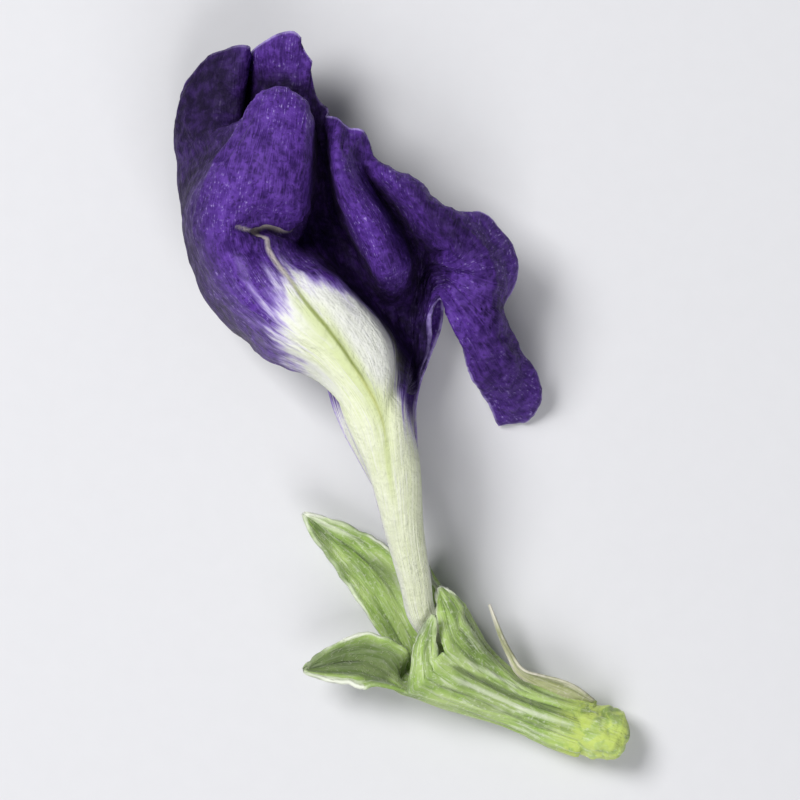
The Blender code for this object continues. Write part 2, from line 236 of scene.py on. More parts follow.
@dataclass
class Tissue:
    """A thin sheet's middle surface, or the skin of a closed form.

    Attributes:
        points: the vertices, in millimetres on the drawing plane.
        quads: four vertex numbers a face.
        marks: numbers or vectors at the vertices, for the materials.
    """

    points: Array
    quads: Array
    marks: dict[str, Array]

    def faces(self) -> Array:
        """The quads' normals, as long as twice their areas: the cross products of their diagonals."""
        a, b, c, d = np.moveaxis(self.points[self.quads], 1, 0)
        return np.cross(c - a, d - b)

    def thick(self, half_wall: Array | float) -> "Tissue":
        """Both faces of the sheet, which is moved to and fro along its normals, with a rim between them.

        Args:
            half_wall: half the wall, one number or one a vertex.

        Returns:
            The closed skin, nowhere below the surface that it lies on.
        """
        points = self.points.copy()
        points[:, 2] = np.maximum(points[:, 2], half_wall)
        face = Tissue(points, self.quads, {}).faces()
        normal = np.zeros_like(points)
        for k in range(4):
            np.add.at(normal, self.quads[:, k], face)
        shift = unit(normal) * np.broadcast_to(half_wall, len(points))[:, None]
        edges = np.concatenate([self.quads[:, [k, (k + 1) % 4]] for k in range(4)])
        _, first, count = np.unique(np.sort(edges, axis=1), axis=0, return_index=True, return_counts=True)
        near, far = edges[first[count == 1]].T
        n = len(points)
        rim = np.stack([far, near, near + n, far + n], axis=1)
        both = np.concatenate([points + shift, points - shift])
        both[:, 2] = np.maximum(both[:, 2], 0)
        marks = {name: np.concatenate([mark, mark]) for name, mark in self.marks.items()}
        return Tissue(both, np.concatenate([self.quads, self.quads[:, ::-1] + n, rim]), marks)


def joined(parts: list[Tissue], apart: bool = True) -> Tissue:
    """Several parts in one piece.

    Args:
        parts: the parts, with the same marks.
        apart: whether each part's quads count from its own first vertex.

    Returns:
        The piece.
    """
    starts = np.cumsum([0] + [len(part.points) * apart for part in parts])
    quads = np.concatenate([part.quads + start for part, start in zip(parts, starts)])
    marks = {name: np.concatenate([part.marks[name] for part in parts]) for name in parts[0].marks}
    return Tissue(np.concatenate([part.points for part in parts]), quads, marks)


def grid_quads(rows: int, columns: int, closed: bool = False) -> Array:
    """The quads of a grid whose vertices are numbered row by row.

    Args:
        rows: rows of vertices.
        columns: vertices a row.
        closed: whether the last column joins the first.

    Returns:
        Four vertex numbers a quad.
    """
    index = np.arange(rows * columns).reshape(rows, columns)
    left = index if closed else index[:, :-1]
    right = np.roll(index, -1, axis=1) if closed else index[:, 1:]
    return np.stack([left[:-1], right[:-1], right[1:], left[1:]], axis=-1).reshape(-1, 4)


def grid_tissue(points: Array, marks: dict[str, Array], closed: bool = False) -> Tissue:
    """A grid of points, with marks on the same grid, as a sheet."""
    flat = {name: mark.reshape(-1, *mark.shape[2:]) for name, mark in marks.items()}
    return Tissue(points.reshape(-1, 3), grid_quads(*points.shape[:2], closed), flat)


def rings_tissue(rings: Array, marks: dict[str, Array]) -> Tissue:
    """A closed round form: rings of points, with a middle vertex over each end.

    Args:
        rings: rows of ring points, an even number a ring.
        marks: marks on the same grid.

    Returns:
        The skin, turned to look outwards: its volume, a sum of the corners' triple products, is above 0.
    """
    rows, sides = rings.shape[:2]
    middles = Tissue(rings[[0, -1]].mean(axis=1), np.empty((0, 4), int),
                     {name: mark[[0, -1]].mean(axis=1) for name, mark in marks.items()})
    skin = joined([grid_tissue(rings, marks, closed=True), middles])
    skin.points[:, 2] = np.maximum(skin.points[:, 2], 0)
    even = np.arange(0, sides, 2)
    cap = np.stack([even, (even + 1) % sides, (even + 2) % sides], axis=1)
    low = np.column_stack([cap[:, ::-1], np.full(len(cap), rows * sides)])
    high = np.column_stack([cap + (rows - 1) * sides, np.full(len(cap), rows * sides + 1)])
    quads = np.concatenate([skin.quads, low, high])
    a, b, c, d = np.moveaxis(skin.points[quads], 1, 0)
    volume = (a * (np.cross(b, c) + np.cross(c, d))).sum()
    return Tissue(skin.points, quads[:, ::-1] if volume < 0 else quads, skin.marks)


def rod_rings(stations: Array | list, sides: int, steps: int) -> tuple[Array, Array, Array]:
    """Rings round an axis: the radius times the cosine of the angle sideways and its sine upwards.

    Args:
        stations: x, y, z and radius along the axis.
        sides: points a ring.
        steps: rings between neighbouring stations.

    Returns:
        The ring points, the directions from the axis to them and the axis points.
    """
    fine = smooth(stations, steps)
    axis, radius = fine[:, :3], fine[:, 3]
    _, side, top = frames(axis)
    angle = np.linspace(0, TURN, sides, endpoint=False)[None, :, None]
    out = np.cos(angle) * side[:, None] + np.sin(angle) * top[:, None]
    return axis[:, None] + radius[:, None, None] * out, out, axis


def rod(stations: Array | list, sides: int, steps: int, head: float = 0.0, ridges: int = 0,
        ridge_height: float = 0.0) -> Tissue:
    """A round thread or tube, with lengthwise ridges if asked: a cosine of the angle on its radius."""
    rings, _, axis = rod_rings(stations, sides, steps)
    grooved = 1 + ridge_height * np.cos(ridges * np.linspace(0, TURN, sides, endpoint=False))
    rings = axis[:, None] + (rings - axis[:, None]) * grooved[None, :, None]
    return rings_tissue(rings, {"head": np.full(rings.shape[:2], head)})


def hairs(roots: Array, directions: Array, lengths: Array, width: float, bend: Array) -> Tissue:
    """Short hairs as slender spikes whose radius falls evenly to nearly nothing at the tip.

    A hair's axis is its root plus the direction times the way along plus the bend times its square.

    Args:
        roots: where the hairs stand.
        directions: which way they grow.
        lengths: how long they are.
        width: half their width at the root.
        bend: the sideways way of their tips.

    Returns:
        All the hairs in one skin.
    """
    levels, sides = np.array([0.0, 0.5, 1.0]), 4
    directions = unit(directions)
    side = unit(np.cross(directions, UP + 0.013))
    top = np.cross(side, directions)
    axis = (roots[:, None] + directions[:, None] * (lengths[:, None] * levels)[..., None]
            + bend[:, None] * (levels**2)[None, :, None])
    angle = np.arange(sides) * TURN / sides
    radius = width * (1 - 0.85 * levels)
    ring = np.cos(angle)[:, None] * side[:, None] + np.sin(angle)[:, None] * top[:, None]
    points = axis[:, :, None] + ring[:, None] * radius[None, :, None, None]
    ends = np.array([[3, 2, 1, 0], [8, 9, 10, 11]])
    quads = np.concatenate([grid_quads(len(levels), sides, closed=True), ends])
    starts = sides * len(levels) * np.arange(len(roots))
    return Tissue(points.reshape(-1, 3), (quads[None] + starts[:, None, None]).reshape(-1, 4),
                  {"head": np.tile(np.repeat(levels, sides), len(roots))})


def show(name: str, data: bpy.types.ID) -> bpy.types.Object:
    """A new object in the scene."""
    obj = bpy.data.objects.new(name, data)
    bpy.context.scene.collection.objects.link(obj)
    return obj


def add_piece(name: str, skin: Tissue, finish: bpy.types.Material, slot: Slot, stands_for: str) -> None:
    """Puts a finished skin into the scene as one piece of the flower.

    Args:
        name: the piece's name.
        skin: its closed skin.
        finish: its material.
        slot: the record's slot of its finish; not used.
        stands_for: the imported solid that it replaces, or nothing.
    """
    data = bpy.data.meshes.new(name)
    points = (skin.points + DRAWING_TO_FRAME) * MM
    data.vertices.add(len(points))
    data.vertices.foreach_set("co", points.astype(np.float32).ravel())
    data.loops.add(skin.quads.size)
    data.loops.foreach_set("vertex_index", skin.quads.astype(np.int32).ravel())
    data.polygons.add(len(skin.quads))
    data.polygons.foreach_set("loop_start", np.arange(0, skin.quads.size, 4, dtype=np.int32))
    data.update(calc_edges=True)
    for mark, values in skin.marks.items():
        kind, key = ("FLOAT_VECTOR", "vector") if values.ndim == 2 else ("FLOAT", "value")
        made = data.attributes.new(mark, kind, "POINT")
        made.data.foreach_set(key, values.astype(np.float32).ravel())
    data.validate()
    data.shade_smooth()
    data.materials.append(finish)
    obj = show(name, data)
    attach(obj, BODY)
    if stands_for:
        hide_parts(stands_for)
    size = " x ".join(f"{length:.1f}" for length in np.ptp(skin.points, axis=0))
    log.info("%s: %d faces, %s mm", name, len(skin.quads), size)


# Finishes.


class Graph:
    """A node material that is put together step by step. Its inputs are plain values or nodes' outputs."""

    def __init__(self, name: str) -> None:
        """Args: name, the material's name."""
        self.material = bpy.data.materials.new(name)
        self.material.use_nodes = True
        self.tree = self.material.node_tree
        self.place = self.node("ShaderNodeTexCoord").outputs["Object"]

    def feed(self, node: bpy.types.Node, inputs: dict) -> None:
        """Gives a node's inputs, by name or number, their values or links."""
        for key, value in inputs.items():
            if isinstance(value, Socket):
                self.tree.links.new(value, node.inputs[key])
            else:
                node.inputs[key].default_value = value

    def node(self, kind: str, inputs: dict | None = None, **settings: object) -> bpy.types.Node:
        """A node of Blender's type, with values of its own properties and of its inputs."""
        made = self.tree.nodes.new(kind)
        for key, value in settings.items():
            setattr(made, key, value)
        self.feed(made, inputs or {})
        return made

    def mark(self, name: str, output: str = "Fac") -> Socket:
        """A mark of the mesh, as a number or, from the output Vector, as a vector."""
        return self.node("ShaderNodeAttribute", attribute_name=name).outputs[output]

    def reckon(self, kind: str, a: object, b: object, c: object = 0.0) -> Socket:
        """A sum, a difference or another simple operation on numbers."""
        return self.node("ShaderNodeMath", {0: a, 1: b, 2: c}, operation=kind).outputs[0]

    def times(self, a: object, b: object) -> Socket:
        """The product of two numbers."""
        return self.reckon("MULTIPLY", a, b)

    def noise(self, vector: object, cells: float | Point, detail: float, warp: float = 0.0) -> Socket:
        """Cloudy noise of 0 to 1.

        Args:
            vector: where it is asked for.
            cells: how many cells it has a unit, along all coordinates or each.
            detail: how many finer layers it has.
            warp: how far it is warped.

        Returns:
            The noise.
        """
        if isinstance(cells, tuple):
            stretched = self.node("ShaderNodeVectorMath", {0: vector, 1: cells}, operation="MULTIPLY")
            vector, cells = stretched.outputs[0], 1.0
        inputs = {"Vector": vector, "Scale": cells, "Detail": detail, "Distortion": warp}
        return self.node("ShaderNodeTexNoise", inputs).outputs["Fac"]

    def span(self, value: object, low: float, high: float, to_low: float = 0.0,
             to_high: float = 1.0) -> Socket:
        """A number moved smoothly from one range to another, and kept inside it."""
        inputs = {"Value": value, "From Min": low, "From Max": high, "To Min": to_low, "To Max": to_high}
        return self.node("ShaderNodeMapRange", inputs, interpolation_type="SMOOTHSTEP").outputs["Result"]

    def mix(self, share: object, a: object, b: object, blend: str = "MIX") -> Socket:
        """Two colours mixed: the first where the share is 0 and the second where it is 1."""
        a, b = ((*colour, 1.0) if isinstance(colour, tuple) else colour for colour in (a, b))
        made = self.node("ShaderNodeMix", {0: share, 6: a, 7: b}, data_type="RGBA", blend_type=blend)
        return made.outputs[2]

    def coats(self, colour: object, *coats: tuple) -> Socket:
        """Colours laid over one another.

        Args:
            colour: the ground.
            coats: for each coat a number, its range, the shares at both ends of it and the colour.

        Returns:
            The colour on top.
        """
        for value, low, high, least, most, coat in coats:
            colour = self.mix(self.span(value, low, high, least, most), colour, coat)
        return colour

    def relief(self, *heights: tuple[Socket, float]) -> Socket:
        """Heights of 0 to 1 on top of one another, each with its depth in metres."""
        below = {}
        for height, depth in heights:
            inputs = {"Height": height, "Distance": depth, "Strength": 1.0, **below}
            below = {"Normal": self.node("ShaderNodeBump", inputs).outputs["Normal"]}
        return below["Normal"]

    def finish(self, colour: Socket, normal: Socket, roughness: object,
               **sockets: object) -> bpy.types.Material:
        """Feeds the shader.

        Args:
            colour: the base colour.
            normal: the relief.
            roughness: from 0 to 1.
            sockets: values of its other inputs, with _ for a space in their names.

        Returns:
            The material.
        """
        plain = {key.replace("_", " "): value for key, value in sockets.items()}
        self.feed(self.tree.nodes["Principled BSDF"],
                  {"Base Color": colour, "Normal": normal, "Roughness": roughness, **plain})
        return self.material


@dataclass(frozen=True)
class PetalFinish:
    """Dry petal tissue: violet on the blade, whitish green on the claw, fine lengthwise veins.

    It reads the marks "vein" (across in fold lines, along in millimetres), "spread" (0 where the veins are
    crowded, 1 where they fan out), "pale" (0 violet, 1 whitish), "midrib" (1 on it or on a worn edge),
    "edge" (millimetres to the margin) and "hollow" (1 where the painted shade is darkest, in deep hollows
    and in shade patches).
    """

    name: str
    deep: Colour = (0.020, 0.006, 0.066)
    # The darkest violet: the colour of the painted shade.
    dusky: Colour = (0.007, 0.002, 0.022)
    violet: Colour = (0.058, 0.018, 0.190)
    lit: Colour = (0.128, 0.049, 0.360)
    lilac: Colour = (0.44, 0.34, 0.74)
    pale: Colour = (0.78, 0.81, 0.61)
    pale_green: Colour = (0.60, 0.67, 0.34)
    whitish: Colour = (0.77, 0.77, 0.755)
    rib: Colour = (0.48, 0.52, 0.18)
    shaded_rib: Colour = (0.23, 0.28, 0.06)
    worn: Colour = (0.70, 0.63, 0.58)

    def material(self) -> bpy.types.Material:
        """The finish as a node material."""
        g = Graph(self.name)
        vein = g.mark("vein", "Vector")
        spread, pale, rib, edge, hollow = map(g.mark, ("spread", "pale", "midrib", "edge", "hollow"))
        crowded = g.noise(vein, (9.0, 0.30, 1.0), 3.0)
        fanned = g.noise(vein, (22.0, 1.0, 1.0), 3.0, 0.3)
        fine = g.reckon("ADD", g.times(crowded, g.reckon("SUBTRACT", 1.0, spread)), g.times(fanned, spread))
        cloud = g.noise(g.place, 330.0, 4.0, 0.3)
        blotch = g.noise(g.place, 1900.0, 5.0, 0.15)
        crepe = g.noise(g.place, 4600.0, 3.0)
        fleck = g.times(g.span(crepe, 0.54, 0.68), g.span(fine, 0.48, 0.62))
        fleck = g.times(fleck, g.span(cloud, 0.42, 0.56))
        violet = g.coats(
            self.deep,
            (cloud, 0.30, 0.60, 0.0, 1.0, self.violet),
            (blotch, 0.36, 0.70, 0.0, 0.75, self.lit),
            (fine, 0.44, 0.66, 0.0, 0.6, self.lit),
            (crepe, 0.46, 0.3, 0.0, 0.7, self.deep),
        )
        violet = g.mix(g.times(fleck, 0.75), violet, self.lilac)
        claw = g.coats(
            self.pale_green,
            (fine, 0.30, 0.6, 0.25, 1.0, self.pale),
            (blotch, 0.4, 0.7, 0.0, 0.6, self.pale),
            (fine, 0.5, 0.72, 0.0, 0.45, self.whitish),
            (edge, 0.9, 0.1, 0.0, 0.7, self.whitish),
        )
        claw = g.mix(g.times(spread, 0.75), claw, self.whitish)
        claw = g.coats(claw, (rib, 0.0, 0.3, 0.0, 0.9, self.pale_green))
        streaks = g.noise(vein, (3.0, 0.34, 1.0), 4.0)
        uneven = g.reckon("MULTIPLY_ADD", fine, 0.3, g.reckon("MULTIPLY_ADD", streaks, 1.4, -0.85))
        feather = g.reckon("MULTIPLY_ADD", uneven, g.span(pale, 0.02, 0.3), pale)
        colour = g.coats(
            violet,
            (feather, 0.10, 0.55, 0.0, 0.75, self.lilac),
            (feather, 0.30, 0.70, 0.0, 1.0, self.whitish),
            (feather, 0.50, 0.95, 0.0, 1.0, claw),
        )
        rim = g.times(g.span(edge, 0.18, 0.05), g.span(blotch, 0.35, 0.6, 0.35, 0.9))
        colour = g.mix(rim, colour, self.lilac)
        # Painted shade: dusky violet, pale green on the claw, where the mark "hollow" is high.
        sunk = g.times(g.span(hollow, 0.10, 0.9), g.span(blotch, 0.3, 0.7, 1.0, 0.8))
        colour = g.mix(sunk, colour, g.mix(pale, self.dusky, self.pale_green))
        line = g.mix(g.span(spread, 0.1, 0.7), self.rib, self.shaded_rib)
        line = g.mix(g.span(pale, 0.1, 0.8), self.worn, line)
        colour = g.coats(colour, (rib, 0.4, 0.95, 0.0, 0.85, line))
        relief = g.relief((fine, 0.00005), (blotch, 0.00012), (crepe, 0.00006))
        return g.finish(colour, relief, g.span(blotch, 0.3, 0.7, 0.66, 0.5), Sheen_Weight=0.02,
                        Sheen_Roughness=0.4, Sheen_Tint=(0.62, 0.45, 1.0, 1.0), Specular_IOR_Level=0.13)


@dataclass(frozen=True)
class LeafFinish:
    """Dry calyx tissue: grey-green with long veins, whitish margins and a yellower foot.

    It reads the marks "grain" (round and along in millimetres), "edge" (millimetres to the margin), "foot"
    (1 at the stalk) and "hollow" (1 where painted shade is darkest, in a groove and along a sepal's fold,
    and high on a darker sepal; less than 0 on a groove's lip, which gets a painted highlight, and on a pale
    strip).
    """

    name: str
    green: Colour = (0.26, 0.41, 0.075)
    dark: Colour = (0.075, 0.11, 0.038)
    light: Colour = (0.45, 0.58, 0.21)
    whitish: Colour = (0.79, 0.82, 0.69)
    foot: Colour = (0.52, 0.63, 0.13)

    def material(self) -> bpy.types.Material:
        """The finish as a node material."""
        g = Graph(self.name)
        grain = g.mark("grain", "Vector")
        edge, foot, hollow = map(g.mark, ("edge", "foot", "hollow"))
        long = g.noise(grain, (2.2, 2.2, 0.30), 3.0, 0.5)
        fine = g.noise(grain, (9.0, 9.0, 0.8), 4.0, 0.8)
        cloud = g.noise(g.place, 330.0, 3.0)
        fuzz = g.noise(g.place, 5200.0, 2.0)
        patches = g.noise(g.place, 1300.0, 3.0, 0.8)
        colour = g.coats(
            self.dark,
            (long, 0.28, 0.52, 0.25, 1.0, self.green),
            (long, 0.44, 0.70, 0.0, 0.75, self.light),
            (cloud, 0.42, 0.70, 0.0, 0.6, self.light),
            (cloud, 0.50, 0.34, 0.0, 0.4, self.dark),
            (fine, 0.46, 0.78, 0.0, 0.48, self.whitish),
            (fuzz, 0.55, 0.72, 0.0, 0.3, self.whitish),
            # The mark "hollow": painted shade in the grooves and along the sepals' folds and beside them,
            # and the darker sepal's tone; below 0, a painted highlight on the grooves' lips and the sepals'
            # pale strips.
            (hollow, 0.15, 0.9, 0.0, 0.7, self.dark),
            (hollow, -0.05, -0.5, 0.0, 0.6, self.whitish),
        )
        colour = g.mix(g.times(foot, g.span(patches, 0.36, 0.56, 0.15, 0.8)), colour, self.foot)
        rim = g.times(g.span(edge, 0.20, 0.06), g.span(cloud, 0.42, 0.56, 0.15, 0.95))
        colour = g.mix(rim, colour, self.whitish)
        relief = g.relief((long, 0.00010), (fine, 0.00006), (fuzz, 0.000025))
        return g.finish(colour, relief, 0.7, Sheen_Weight=0.25, Sheen_Roughness=0.5, Specular_IOR_Level=0.3)


@dataclass(frozen=True)
class ThreadFinish:
    """Dry filaments, anthers and hairs: one warm colour with a clouded second one.

    It reads the mark "head" (0 on the thread, 1 on the anther or the tip).
    """

    name: str
    thread: Colour
    head: Colour
    clouded: Colour = (0.55, 0.5, 0.42)

    def material(self) -> bpy.types.Material:
        """The finish as a node material."""
        g = Graph(self.name)
        colour = g.mix(g.mark("head"), self.thread, self.head)
        dusky = g.mix(1.0, colour, self.clouded, "MULTIPLY")
        colour = g.coats(colour, (g.noise(g.place, 1500.0, 3.0), 0.4, 0.75, 0.0, 0.7, dusky))
        grit = g.noise(g.place, 9000.0, 2.0)
        return g.finish(colour, g.relief((grit, 0.00002)), 0.6, Specular_IOR_Level=0.3)


# Petals.


@dataclass(frozen=True)
class Crease:
    """A sharp crease of a dried petal.

    Attributes:
        depth: how far it sinks in, or less than 0 where it stands up.
        width: half its width.
        worn: how pale its edge has worn.
        path: its places, as fold line and row of the petal's net.
        steps: how many points it has between two places.
    """

    depth: float
    width: float
    worn: float
    path: list[tuple[float, float]]
    steps: int = 12

    def away(self, net: Array, middle: Array) -> Array:
        """How far the sheet's points are from the crease's own points on the net, in millimetres."""
        fine = smooth(self.path, self.steps)
        spots = [spline(spline(net, row[None])[0], fold[None])[0] for fold, row in fine]
        return beside(middle, np.array(spots))


@dataclass
class Banner:
    """The large petal with its claw: one crumpled sheet lofted over its fold lines.

    Attributes:
        claw: x, y, z, radius, reach in degrees and the drop of the right side, along the claw.
        folds: the blade's fold lines: x, y, z of the root, throat, crease, belly, crest, tuck and edge.
        pale_to: the row up to which each fold line stays pale.
        creases: its sharp creases.
        shade_patches: patches of painted shade: how dark each is, its fold line and row, and its half width
            and length on the net.
        midrib: the fold line of the midrib.
        crowding: the power that crowds the claw's fold lines, where 1 is even.
        blade_from: the rows over which the claw turns into the blade.
        rib_from: the rows over which the midrib sets in.
        rib_to: the rows over which it ends.
        fanned: from crowded to fanned-out veins, as the distance of two fold lines.
    """

    claw: list[tuple]
    folds: dict[str, list[float]]
    pale_to: list[float]
    creases: list[Crease]
    shade_patches: list[tuple]
    along_steps: int = 18
    across_steps: int = 8
    half_wall: float = 0.075
    margin_wall: float = 0.04
    midrib: int = 6
    crowding: float = 0.8
    blade_from: tuple[float, float] = (6.0, 8.5)
    rib_from: tuple[float, float] = (4.0, 6.8)
    rib_to: tuple[float, float] = (8.7, 9.3)
    fanned: tuple[float, float] = (0.5, 1.8)

    def net(self) -> Array:
        """The knots of the whole petal: the claw's cross-sections, then the blade's stations.

        A cross-section is an arc, the radius times the angle's sine sideways and its cosine upwards, then a
        side that hangs straight down. The fold lines lie at even shares of it, to a power.
        """
        claw = np.array(self.claw)
        axis, radius, reach, hang = claw[:, :3], claw[:, 3:4], np.radians(claw[:, 4:5]), claw[:, 5:6]
        _, side, top = frames(axis)
        arc = 2 * radius * reach
        run = np.linspace(0, 1, len(self.folds))[None] ** self.crowding * (arc + hang)
        angle = (np.minimum(run, arc) / radius - reach)[..., None]
        drop = np.maximum(run - arc, 0)[..., None]
        bow = np.sin(angle) * side[:, None] + np.cos(angle) * top[:, None]
        rows = axis[:, None] + radius[:, None] * bow - drop * UP
        blade = np.array(list(self.folds.values())).reshape(len(self.folds), -1, 3).transpose(1, 0, 2)
        return np.concatenate([rows, blade])

    def skin(self) -> Tissue:
        """The petal: a smooth curve along each fold line, then across them, with relief on its normals."""
        net = self.net()
        v, u = places(net.shape[0], self.along_steps), places(net.shape[1], self.across_steps)
        middle = spline(spline(net, v).transpose(1, 0, 2), u).transpose(1, 0, 2)
        across, along = travelled(middle, 1), travelled(middle, 0)
        edge = np.minimum.reduce([across, across[:, -1:] - across, along[-1:] - along])
        spacing = np.gradient(across, axis=1) * self.across_steps
        spread = rise(*self.fanned, spacing)
        off = self.wrinkles(u, v, along, spread, edge)
        worn = np.zeros_like(edge)
        for crease in self.creases:
            away = crease.away(net, middle)
            lips = 0.35 * bell(away - 2 * crease.width, crease.width)
            off = off - crease.depth * (bell(away, crease.width) - lips)
            worn = np.maximum(worn, crease.worn * bell(away, 0.30))
        middle = middle + grid_normals(middle) * off[..., None]
        from_rib = (u[None] - self.midrib) * spacing
        rib = np.maximum(bell(from_rib, 0.17), 0.3 * bell(from_rib, 0.7)) * rise(*self.rib_from, v)[:, None]
        rib = np.maximum(rib * (1 - rise(*self.rib_to, v)[:, None]), worn)
        # The mark "hollow" is painted shade: darkest deep in the hollows and in the shade patches.
        marks = {"vein": vectors(u[None], along, 0.0), "spread": spread, "pale": self.paleness(u, v),
                 "midrib": rib, "edge": edge, "hollow": np.maximum(hollows(middle), self.painted_shade(u, v))}
        wall = self.margin_wall + (self.half_wall - self.margin_wall) * rise(0, 0.8, edge)
        return grid_tissue(middle, marks).thick(wall.ravel())

    def painted_shade(self, u: Array, v: Array) -> Array:
        """Painted shade on the petal: for each shade patch a product of two bell curves on the net."""
        return sum(dark * bell(u - at, wide)[None] * bell(v - row, long)[:, None]
                   for dark, at, row, wide, long in self.shade_patches)

    def wrinkles(self, u: Array, v: Array, along: Array, spread: Array, edge: Array) -> Array:
        """How far the dried sheet stands off its smooth form.

        The sum of pleats, which are noise that is fine across the veins and long along them, of flutes that
        grow towards the margin, of shallow crumples and of narrow crests.

        Args:
            u: places across the net.
            v: places along it.
            along: the way along each fold line.
            spread: how far the veins fan out.
            edge: the distance to the margin.

        Returns:
            The distances in millimetres.
        """
        noise = Noise(SEED)
        blade = rise(*self.blade_from, v)[:, None]
        pleats = noise.layered(u * (1.6 + 2.2 * spread), along * 0.22)
        flutes = noise.layered(u * 0.6, along * 0.28, 4.0, layers=2)
        crumples = noise.layered(u * 1.1, along * 0.5, 9.0)
        crests = noise.creased(u * 1.7, along * 0.42, 13.0)
        return pleats * (0.022 + 0.09 * blade) + blade * (
            0.85 * flutes * bell(edge, 1.5) + 0.20 * crumples + 0.16 * crests * rise(0.0, 0.5, edge))

    def paleness(self, u: Array, v: Array) -> Array:
        """1 on the claw and in the throat, 0 on the violet blade.

        A smooth step down along the rows, at the row where each fold line turns violet. On the left side a
        faint haze reaches further.
        """
        turn = spline(np.array(self.pale_to), u)[None]
        row = v[:, None] + 0.3 * Noise(SEED + 1).layered(u * 2.3, layers=2)[None]
        haze = 0.31 * (1 - rise(turn - 0.8, turn + 2.2, row)) * (1 - rise(5.2, 6.2, u))[None]
        return np.maximum(1 - rise(turn - 0.8, turn + 0.8, row), haze)


@dataclass
class SmallPetal:
    """A narrow petal or leaf: an arc of its width across every point of its spine.

    Attributes:
        stations: x, y, z, half width, roll and curl in degrees along the spine.
        seed: what its noise grows from.
        pale_to: how much of its length is pale.
        wave: how far its margins wave.
    """

    stations: list[tuple]
    seed: int
    pale_to: float = 0.5
    wave: float = 0.12
    half_wall: float = 0.07
    steps: int = 10
    columns: int = 32
    least_width: float = 0.06

    def skin(self) -> Tissue:
        """The petal: its spine plus the arc's sine sideways, one less its cosine upwards, and noise."""
        fine = smooth(self.stations, self.steps)
        width = np.maximum(fine[:, 3:4], self.least_width)
        roll = np.radians(fine[:, 4:5])
        curl = np.radians(np.maximum(fine[:, 5:6], 1)) / 2
        _, side, top = frames(fine[:, :3])
        across = np.cos(roll) * side + np.sin(roll) * top
        over = np.cos(roll) * top - np.sin(roll) * side
        place = np.linspace(-1, 1, self.columns + 1)[None]
        sideways = (width / curl * np.sin(curl * place))[..., None]
        upwards = (width / curl * (1 - np.cos(curl * place)))[..., None]
        middle = fine[:, None, :3] + sideways * across[:, None] + upwards * over[:, None]
        along = travelled(middle, 0)
        edge = np.minimum(width * (1 - np.abs(place)), along[-1:] - along)
        noise = Noise(self.seed)
        u = place * 4
        off = 0.10 * noise.layered(u * 1.3, along * 0.25) * rise(0.2, 1.2, width)
        off = off + 2 * self.wave * noise.layered(u * 0.4, along * 0.55, 3.0) * rise(0.3, 1.4, width)
        middle = middle + grid_normals(middle) * off[..., None]
        pale = 1 - rise(self.pale_to - 0.15, self.pale_to + 0.15, along / along[-1:])
        none = np.zeros_like(along)
        marks = {"vein": vectors(u, along, 0.0), "spread": 0.6 * rise(0.5, 1.5, width) + none, "pale": pale,
                 "edge": edge, "grain": vectors(place * width, 0.0, along), "midrib": none, "foot": none,
                 "hollow": none}
        return grid_tissue(middle, marks).thick(self.half_wall)


# Calyx and stalk.


@dataclass(frozen=True)
class Sepal:
    """One sepal of the calyx.

    Attributes:
        middle: the middle of its spine.
        tip: its tip.
        half_width: its half width.
        facing: the direction that its inner face looks in.
        fold: how sharp the fold along its middle is, up to 1, and how dark the painted shade along the fold
            is.
        dark: how much darker it is over nearly its whole width, up to 1.
        strip: how pale the strip along it is, and the strip's place across it.
        shade: how dark the painted shade on the strip beside its fold is.
        root: over what share of its length each side leaves the mouth's rim.
    """

    middle: Point
    tip: Point
    half_width: float
    facing: Point
    fold: float = 1.0
    dark: float = 0.0
    strip: tuple[float, float] = (0.2, 0.5)
    shade: float = 0.0
    root: tuple[float, float] = (0.6, 0.6)

    def shade_and_strip(self, place: Array, up: Array) -> Array:
        """Painted shade along its fold and beside it, with its darker tone, less its pale strip, at places
        across it, from -1 to 1, and along it: bell curves and steps.
        """
        shade_and_strip = 0.7 * self.fold * bell(place - FOLD_PLACE, 0.10) * rise(0.1, 0.4, up)
        shade_and_strip = shade_and_strip + self.shade * bell(place - 0.40, 0.30) * bell(up - 0.5, 0.22)
        shade_and_strip = np.maximum(shade_and_strip, self.dark * (1 - place**4) * rise(0.05, 0.3, up))
        return shade_and_strip - self.strip[0] * bell(place - self.strip[1], 0.25) * rise(0.3, 0.7, up)


